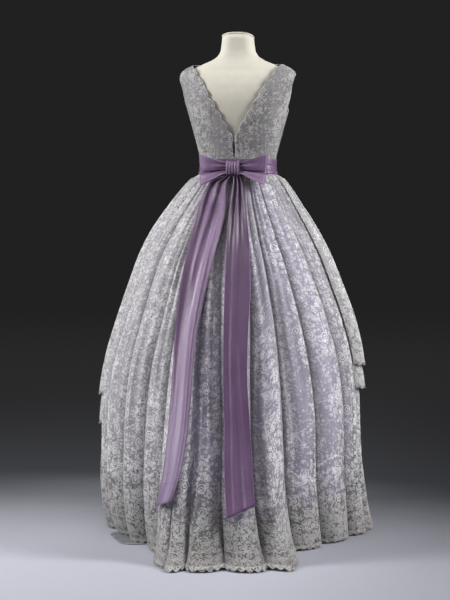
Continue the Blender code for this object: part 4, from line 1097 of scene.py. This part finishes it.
def edge_cord(path):
    """A raised cord with small picots along an edge of the bodice."""
    run = distances(path, 0)
    even = np.linspace(0.0, run[-1], int(run[-1] / PICOT_STEP))
    points = np.stack([np.interp(even, run, path[:, k]) for k in range(3)], axis=-1)
    return tube(points, CORD_RADIUS * (1.0 + 0.35 * np.sin(even * TURN / PICOT)), 6)


def bodice_piece(node, points, u, cords):
    """A bodice piece, whose lace runs level at the waist, with cords along its free edges."""
    uv = np.stack((u, points[..., 2]), axis=-1)
    piece = grid(node + "_lace", points, BODICE_LACE, uv=uv, veil=LACE_VEIL, flip=not node.endswith("left"))
    thicken(piece, CLOTH)
    trim = joined(node + "_cord", [edge_cord(path) for path in cords], CORD)
    cloth(piece, node, BODICE_LENGTH, [trim])


def bodice():
    low = low_rows(BACK_LOW)
    for side, sign in SIDES:
        points = bodice_panel(False, sign)
        u = sign * (distances(points, 1) + np.abs(points[:, :1, 0])) + 3.0
        bodice_piece("bodice_back_" + side, points, u, (points[low:, 0], points[low + BACK_ARM_ROW:, -1]))
    low = low_rows(FRONT_LOW)
    half = bodice_panel(True)
    other = half * np.array((-1.0, 1.0, 1.0))
    points = np.concatenate((other[:, ::-1], half[:, 1:]), axis=1)
    u = distances(points, 1)
    neck = np.concatenate((other[low:, 0][::-1], half[low:, 0][1:]), axis=0)
    cords = (neck, half[low + FRONT_ARM_ROW:, -1], other[low + FRONT_ARM_ROW:, -1])
    bodice_piece("bodice_front", points, u - u[:, PANEL_COLUMNS][:, None] + 5.0, cords)


SIDES = (("left", 1.0), ("right", -1.0))
bodice()


# Dress form
SHOULDER_BAND = (1.36, 1.428)
SEAM_HALF, SEAM_DEPTH = 0.9, 0.0005
# Neck cap: height and growth from the form
CAP_RINGS = (
    (1.509, 0.0002), (1.5094, 0.0012), (1.5118, 0.0014), (1.5128, 0.0006), (1.5133, -0.003), (1.5134, -0.02),
)


def form_inset(height):
    low, high = SHOULDER_BAND
    return 0.0012 + 0.0022 * ease((height - low + 0.05) / 0.07) * ease((high + 0.006 - height) / 0.03)


def slanted(angles, height, grow=0.0):
    level = np.full_like(angles, height)
    for _ in range(5):
        points = polar(angles, form_radius(angles, level) + grow, level)
        level = height + NECK_SLANT * points[..., 1]
    points[..., 2] = level
    return points


def dress_form():
    angles = np.linspace(-180.0, 180.0, 121)[:-1]
    waist, chest, neck = 0.86, 1.34, 1.47
    heights = np.concatenate((np.linspace(waist, chest, 34, endpoint=False), np.linspace(chest, neck, 40)))
    angle, height = np.meshgrid(angles, heights)
    seam = bell(np.minimum(np.abs(angle), 180.0 - np.abs(angle)), 0.0, SEAM_HALF)
    seam += bell(np.abs(angle), 90.0, SEAM_HALF) * (height < 1.39)
    points = form_surface(angle, height, -form_inset(height) - SEAM_DEPTH * seam)
    top = slanted(angles, NECK_TOP - 0.0045)
    middle = [points[-1] + (top - points[-1]) * share for share in (0.35, 0.7)]
    points = np.concatenate((points, np.stack(middle + [top])), axis=0)
    piece = grid("form_torso_cover", points, JERSEY, closed=True, flip=True)
    close_ends(piece)
    ride(piece, "form_torso")
    rings = np.stack([slanted(angles, *ring) for ring in CAP_RINGS])
    cap = grid("form_neck_cap_cover", rings, CAP, closed=True, flip=True)
    close_ends(cap)
    ride(cap, "form_neck_cap")


def close_ends(piece):
    """Closes a tube's two ends with a face each."""
    bm = bmesh.new()
    bm.from_mesh(piece.data)
    bmesh.ops.holes_fill(bm, edges=[edge for edge in bm.edges if edge.is_boundary], sides=0)
    bmesh.ops.recalc_face_normals(bm, faces=bm.faces)
    bm.to_mesh(piece.data)
    bm.free()


dress_form()

# Sash: height and stand-off from the form
SASH = np.array((
    (1.0955, 0.0084), (1.1025, 0.0066), (1.104, 0.0057), (1.112, 0.0064), (1.1195, 0.0056),
    (1.13, 0.006), (1.141, 0.0054),
))
# The sash's pleats: height, depth and half width
SASH_PLEATS = (
    (1.102, 0.001, 0.0011), (1.1115, 0.0011, 0.0013), (1.1205, 0.0013, 0.0012), (1.131, 0.0009, 0.0016),
)
SATIN_WALL, SATIN_GAP, SASH_CLOTH, SASH_LENGTH = 0.0015, 0.0006, 0.0011, 0.052


def sash():
    heights = np.linspace(SASH[0, 0], SASH[-1, 0], 46)
    angles = np.linspace(-180.0, 180.0, 241)[:-1]
    angle, height = np.meshgrid(angles, heights)
    turn = np.radians(angle)
    wander = height + 0.0016 * np.sin(turn * 3.0 + 0.6) + 0.0009 * np.sin(turn * 7.0)
    pleats = np.zeros_like(height)
    for at, depth, width in SASH_PLEATS:
        pleats -= depth * bell(wander, at, width) * (0.7 + 0.3 * np.sin(turn * 2.0 + at * 900.0))
    off = look_up(SASH, 1, height) + SATIN_WALL + pleats + SATIN_GAP
    points = form_surface(angle, height, off)
    piece = grid("sash_band_satin", points, SATIN, closed=True, flip=True)
    thicken(piece, SASH_CLOTH)
    cloth(piece, "sash_band", SASH_LENGTH)


sash()

# Bow
BOW_HEIGHT, BOW_Y, BOW_LEAN, BOW_LEAN_FROM = 1.113, 0.0943, 0.68, 1.104
LOOP_PLEAT, LOOP_CREASE, LOOP_LENGTH, KNOT_LENGTH = 0.0014, 0.0085, 0.07, 0.115
# The knot's half width, half depth, half height and ridges
KNOT_HALF, KNOT_DEPTH, KNOT_RISE, KNOT_RIDGE = 0.0205, 0.013, 0.0235, 0.0019
# Loop: reach, top, foot, half depth
LOOP = np.array((
    (0.013, 0.014, -0.014, 0.004), (0.033, 0.0195, -0.019, 0.0088), (0.055, 0.0268, -0.03, 0.0115),
    (0.078, 0.0335, -0.041, 0.0105), (0.0975, 0.042, -0.05, 0.0062),
))


def loop_points(sign):
    """A loop's points from the knot out along its back and home along its face, and their painted light and
    shade.
    """
    steps, bands = 26, 30
    start, end = LOOP[0, 0], LOOP[-1, 0]
    outward = start + (end - start) * ease(np.arange(steps) / steps)
    reach = np.concatenate((outward, [end], outward[::-1]))[:, None]
    face = np.concatenate((np.full(steps, -1.0), [0.0], np.full(steps, 1.0)))[:, None]
    part = np.linspace(0.0, 1.0, bands + 1)[None, :]
    top, foot, half = (look_up(LOOP, k, reach) for k in (1, 2, 3))
    middle = 0.3 + 0.08 * ease((reach - start) / (end - start))
    crease = bell(part, middle, 0.045) + 0.1 * bell(part, 0.16, 0.06)
    depth = half - LOOP_CREASE * crease * ease(reach / 0.05) * np.where(face > 0, 1.0, 0.2)
    fan = (1.0 - (reach - start) / (end - start)) ** 1.2
    near_start, pleat = ease((reach - start) / 0.012), np.cos(TURN * 3.0 * part + 0.8)
    depth = depth + np.where(face > 0, LOOP_PLEAT * pleat * fan * near_start, 0.0)
    lean = 0.008 * (0.5 - part) * ease(reach / end)
    edge = 1.0 - np.abs(face)
    x = sign * (reach - lean + 0.0045 * edge)
    z = BOW_HEIGHT + foot + (top - foot) * part
    y = BOW_Y + face * np.maximum(depth, 0.004) - 0.08 * (reach - start)
    y = y + BOW_LEAN * np.maximum(BOW_LEAN_FROM - z, 0.0)
    # Painted shade in the crease and the pleats' hollows near the knot, and painted light over the whole
    # loop
    shade = np.where(face > 0, crease * near_start, 0.0)
    hollow_painted_shade = fan * (0.5 - 0.5 * pleat) * np.where(face > 0, 0.6, 0.0)
    lit = np.clip(1.0 - 0.75 * shade - hollow_painted_shade, 0.0, 1.0)
    return np.stack((x, y, z), axis=-1), 1.2 * (0.22 + 0.78 * lit)


def bow():
    for side, sign in SIDES:
        node = "bow_loop_" + side
        points, lit = loop_points(sign)
        piece = grid(node + "_satin", points, SATIN, lit=lit, flip=sign > 0.0)
        thicken(piece, CLOTH)
        piping = joined(node + "_edge", [tube(points[:, k], CORD_RADIUS, 6) for k in (0, -1)], PIPING)
        cloth(piece, node, LOOP_LENGTH, [piping])
    part = np.linspace(-1.0, 1.0, 61)[:, None]
    turn = np.linspace(0.0, TURN, 61)[None, :-1]
    ridge = KNOT_RIDGE * swing(2.5 * (part + 1.0) + 0.35 * np.sin(turn * 2.0) / TURN) ** 0.7
    waist = 1.0 - 0.1 * (1.0 - part * part)
    across, along = (np.sign(side) * np.abs(side) ** 0.75 for side in (np.cos(turn), np.sin(turn)))
    y = BOW_Y + (KNOT_DEPTH + ridge) * across
    z = BOW_HEIGHT - 0.002 + (KNOT_RISE * waist + ridge) * along
    points = np.stack(np.broadcast_arrays(part * KNOT_HALF, y, z), axis=-1)
    knot = grid("bow_knot_satin", points, SATIN, closed=True)
    thicken(knot, CLOTH)
    cloth(knot, "bow_knot", KNOT_LENGTH)


bow()

# Tails: height, the middle's x, width and stand-off from the skirt's crests
LEFT_TAIL = np.array((
    (1.0879, 0.0165, 0.027, 0.005), (1.065, 0.042, 0.06, 0.0055), (0.978, 0.052, 0.085, 0.005),
    (0.842, 0.074, 0.084, 0.004), (0.73, 0.089, 0.077, 0.004), (0.618, 0.098, 0.068, 0.004),
    (0.507, 0.1, 0.065, 0.004), (0.39, 0.103, 0.065, 0.004), (0.258, 0.114, 0.062, 0.007),
    (0.164, 0.135, 0.065, 0.008),
))
RIGHT_TAIL = np.array((
    (1.0877, -0.0145, 0.023, 0.005), (1.065, -0.021, 0.031, 0.0055), (0.978, -0.028, 0.05, 0.005),
    (0.842, -0.0405, 0.07, 0.004), (0.73, -0.0465, 0.074, 0.004), (0.618, -0.049, 0.07, 0.004),
    (0.507, -0.054, 0.068, 0.004), (0.39, -0.064, 0.071, 0.004), (0.258, -0.075, 0.078, 0.006),
    (0.147, -0.088, 0.074, 0.008),
))


def drape_depth(x, height):
    x = x - sway(height)
    y = np.full(np.broadcast(x, height).shape, 0.3)
    for _ in range(12):
        reach = skirt_reach(np.degrees(np.arctan2(x, y)), height)
        y = np.sqrt(np.maximum(reach * reach - x * x, 1e-6))
    return y


# A tail's pleats, its piping, its row of stitches, and how much longer it is than its drop
TAIL_PLEAT, TAIL_PIPING, STITCH_RADIUS, STITCHED_ROW, TAIL_RUN = 0.0125, 0.0008, 0.00045, 124, 1.08


def lifted(points, amount):
    return points + np.array((0.0, amount, 0.0))


def tail(node, table, end_slant, tilt, painted_highlight_stripe, ridges, shades):
    """A long sash end: pleats that fan from the knot, long soft folds and a turned hem."""
    name = node + "_satin"
    part = np.linspace(0.0, 1.0, 131)[:, None]
    across = np.linspace(-0.5, 0.5, 37)[None, :]
    top, foot = table[0, 0], table[-1, 0]
    height = top + (foot - top) * (0.35 * part**2 + 0.65 * part)
    middle, width, stand_off = (look_up(table, k, height) for k in (1, 2, 3))
    fanned = ease(part * 2.3)
    pleat = TAIL_PLEAT * (1.0 - 0.95 * fanned)
    level = height + end_slant * width * across * ease((part - 0.9) / 0.1)
    x = middle + width * across
    fold = swing(2.5 * (across + 0.5))
    extra = np.zeros(np.broadcast(part, across).shape)
    for at, drift, high, low, depth, half in ridges:
        ends = ease((part - high) / 0.06 + 0.5) * ease((low - part) / 0.12)
        extra += depth * bell(across, at + drift * part, half) * ends
    extra -= tilt * (across - 0.5) * ease((part - 0.4) / 0.35)
    y = drape_depth(x, np.minimum(level, 1.084)) + stand_off + SATIN_WALL + pleat * fold + extra
    points = np.stack(np.broadcast_arrays(x, y, level), axis=-1)
    # Painted shade in the pleats' hollows near the knot and under the bow, painted light and shade down the
    # tail from its table, and a painted highlight stripe
    lit = (1.0 - 0.85 * (1.0 - fanned) * (1.0 - fold) ** 0.8) * (1.0 - 0.45 * bell(part, 0.0, 0.055))
    lit = (0.2 + 0.8 * lit) * curve(*np.array(shades).T, part)
    lit = lit * (1.0 + painted_highlight_stripe * bell(across, 0.1 * part - 0.12, 0.15) * ease((part - 0.12) / 0.15))
    piece = grid(name, points, SATIN, lit=lit)
    thicken(piece, CLOTH)
    edges = [tube(lifted(points[:, k], 0.0004), TAIL_PIPING, 5) for k in (0, -1)]
    edges.append(tube(lifted(points[-1], 0.0003), TAIL_PIPING, 5))
    piping = joined(name + "_edge", edges, PIPING)
    row = lifted(points[STITCHED_ROW], 0.0006)
    stitches = [tube(row[k:k + 2], STITCH_RADIUS, 4) for k in range(1, 35, 2)]
    trims = [piping, joined(name + "_hem_stitching", stitches, PIPING)]
    length = float(top - foot) * TAIL_RUN
    cloth(piece, node, length, trims)


# Each tail's ridges: place, drift, start, end, height and half width; then its painted light and shade, head
# to foot
tail("sash_tail_left", LEFT_TAIL, -0.6, 0.016, 0.35, (
    (-0.33, 0.0, 0.1, 1.2, 0.0125, 0.15),
    (0.52, -0.02, 0.08, 1.2, 0.0085, 0.18),
    (0.1, 0.1, 0.02, 0.45, 0.004, 0.06),
), ((0.0, 1.1), (0.22, 1.22), (0.45, 0.85), (0.62, 1.05), (0.8, 1.3), (1.0, 1.45)))
tail("sash_tail_right", RIGHT_TAIL, -0.45, 0.002, 0.0, (
    (0.46, -0.04, 0.02, 0.95, 0.002, 0.08),
    (0.12, 0.06, 0.22, 1.2, 0.0024, 0.09),
    (-0.5, 0.0, 0.1, 1.2, 0.0035, 0.14),
    (0.3, -0.55, 0.62, 1.2, 0.004, 0.11),
), ((0.0, 0.75), (0.15, 0.62), (0.3, 0.66), (0.55, 0.8), (0.8, 1.0), (1.0, 1.0)))


# Zip: teeth along both sides of the slit, and a row of stitches beside them
def block(middle, half):
    corners = [(i, j, k) for i in (-1, 1) for j in (-1, 1) for k in (-1, 1)]
    points = np.array(middle) + np.array(corners) * half
    faces = [(0, 1, 3, 2), (4, 6, 7, 5), (0, 4, 5, 1), (2, 3, 7, 6), (0, 2, 6, 4), (1, 5, 7, 3)]
    return points, faces


ZIP_FOOT, TEETH_TOP, STITCHES_TOP = 1.146, 1.181, 1.192
TOOTH_PITCH, TOOTH_HALF, TOOTH_SHIFT, TOOTH_LIFT = 0.0017, (0.0008, 0.0005, 0.0005), 0.0005, 0.0035
STITCH_PITCH, STITCH_X, STITCH_STEPS = 0.0042, 0.0076, (0.0, 0.0012, 0.0026)


def zip_details():
    teeth, stitches = [], []
    for k, z in enumerate(np.arange(ZIP_FOOT, TEETH_TOP, TOOTH_PITCH)):
        seat = form_surface(0.0, z, TOOTH_LIFT)
        teeth.append(block((TOOTH_SHIFT * (1 if k % 2 else -1), seat[1], z), TOOTH_HALF))
    for side in (-1.0, 1.0):
        for z in np.arange(ZIP_FOOT, STITCHES_TOP, STITCH_PITCH):
            angle = angle_at_x(np.array([STITCH_X]), np.array([z]))[0]
            ends = [form_surface(side * angle, z + step, 0.0042) for step in STITCH_STEPS]
            stitches.append(tube(ends, 0.00035, 5))
    teeth = joined("zip_teeth", teeth, SLIDER)
    stitching = joined("zip_stitching", stitches, CORD)
    ride(teeth, None)
    ride(stitching, None)


zip_details()

# CAD nodes that stay get their own materials
for node, material in (
    ("form_pole", STEEL),
    ("form_base", STEEL),
    ("zip_tape", TAPE),
    ("zip_slider", SLIDER),
    ("strap_lining_left", LINING),
    ("strap_lining_right", LINING),
):
    for holder_slot in bpy.data.objects[node].material_slots:
        holder_slot.material = material


# Floor, light and camera
# The backdrop's tone, the floor's faint painted glow, and the floor's middle and rings
DARK = (0.015, 0.015, 0.0152)
DUSK = (0.0235, 0.0235, 0.024)
FLOOR_MIDDLE, FLOOR_RINGS = (0.22, 0.95), (0.02, 0.7, 1.5, 3.0, 6.0, 12.0)


def floor():
    """A pale floor round the gown, with painted light that fades away from its middle, a painted shadow to
    the wearer's right, and further off a faint painted glow in the backdrop's tone.
    """
    angles = np.linspace(-180.0, 180.0, 129)[:-1]
    rings = np.stack([polar(angles, radius, 0.0) for radius in FLOOR_RINGS])
    made, shader = new_material("pale_floor")
    place = object_place(made)
    x, y, _ = parts_of(place)
    # Painted falloff of light: the floor darkens away from its middle
    x, y = x - FLOOR_MIDDLE[0], y - FLOOR_MIDDLE[1]
    far = (x * x * 0.75 + y * y).use("SQRT") + noise(place, 3.0, 3.0) * 0.1
    near = blend(soft(far, 0.65, 2.05), (0.365, 0.37, 0.416), (0.04, 0.041, 0.046))
    # Painted shadow of the gown on the floor to the wearer's right
    near = scaled(near, 1.0 - soft(x, -0.25, -0.95) * 0.3)
    # Further off, the colour fades to black and a faint painted glow takes its place
    share = soft(far, 1.5, 6.0)
    distant_painted_glow = blend(soft(far, 3.5, 11.0), DUSK, DARK)
    black = (0.0, 0.0, 0.0)
    for label, value in (
        ("Base Color", blend(share, near, black)),
        ("Emission Color", blend(share, black, distant_painted_glow)),
        ("Emission Strength", 1.0),
        ("Roughness", 0.8),
        ("Specular IOR Level", 0.0),
    ):
        feed(shader.inputs[label], value)
    piece = grid("floor", rings, made, closed=True, flip=True)
    piece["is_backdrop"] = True


def held_up(name, data, place, aim):
    """A light or camera at a place, which looks along its aim."""
    holder = bpy.data.objects.new(name, data)
    holder.location = place
    holder.rotation_euler = aim.to_track_quat("-Z", "Y").to_euler()
    bpy.context.scene.collection.objects.link(holder)
    return holder


def area_light(name, place, target, size, power):
    light = bpy.data.lights.new(name, "AREA")
    light.shape = "RECTANGLE"
    light.size, light.size_y = size
    light.energy = power
    held_up(name, light, Vector(place), Vector(target) - Vector(place))


def studio():
    world = bpy.data.worlds.new("studio")
    bpy.context.scene.world = world
    world.use_nodes = True
    background = world.node_tree.nodes["Background"]
    background.inputs["Color"].default_value = (*DARK, 1.0)
    background.inputs["Strength"].default_value = 1.0
    middle = (0.0, 0.0, 0.7)
    area_light("key_left", (2.5, 0.95, 2.2), (0.0, 0.0, 1.0), (0.8, 1.6), 122.0)
    area_light("key_right", (-2.7, 0.45, 2.2), (0.0, 0.0, 1.0), (0.8, 1.6), 126.0)
    area_light("front", (-0.4, 4.4, 3.0), middle, (1.8, 1.4), 10.0)
    area_light("behind", (0.4, -4.2, 2.8), middle, (2.4, 2.0), 40.0)
    area_light("above", (0.0, 0.9, 3.7), (0.0, 0.4, 0.0), (1.6, 1.6), 30.0)
    bpy.context.scene.view_settings.view_transform = "Standard"


def camera():
    distance, height, towards = 5.0, 1.05, Vector((0.156, -0.988, 0.0))
    lens_px, frame_px, sensor = 1625.0, 600.0, 36.0
    across_px, horizon_px = 13.0, 111.0
    home = Vector((0.0, 0.0, height)) - towards * distance
    forward = towards.normalized()
    right = forward.cross(Vector((0.0, 0.0, 1.0)))
    yaw, pitch = math.atan2(across_px, lens_px), math.atan2(horizon_px, lens_px)
    level = forward * math.cos(yaw) - right * math.sin(yaw)
    aim = level * math.cos(pitch) - Vector((0.0, 0.0, math.sin(pitch)))
    data = bpy.data.cameras.new("camera")
    data.sensor_width = sensor
    data.lens = lens_px / frame_px * sensor
    bpy.context.scene.camera = held_up("camera", data, home, aim)


floor()
studio()
camera()


def plain(value):
    if hasattr(value, "tolist"):
        return value.tolist()
    return [plain(part) for part in value] if hasattr(value, "__len__") else float(value)


{"cad": plain(cad_box), "visual": plain(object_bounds())}
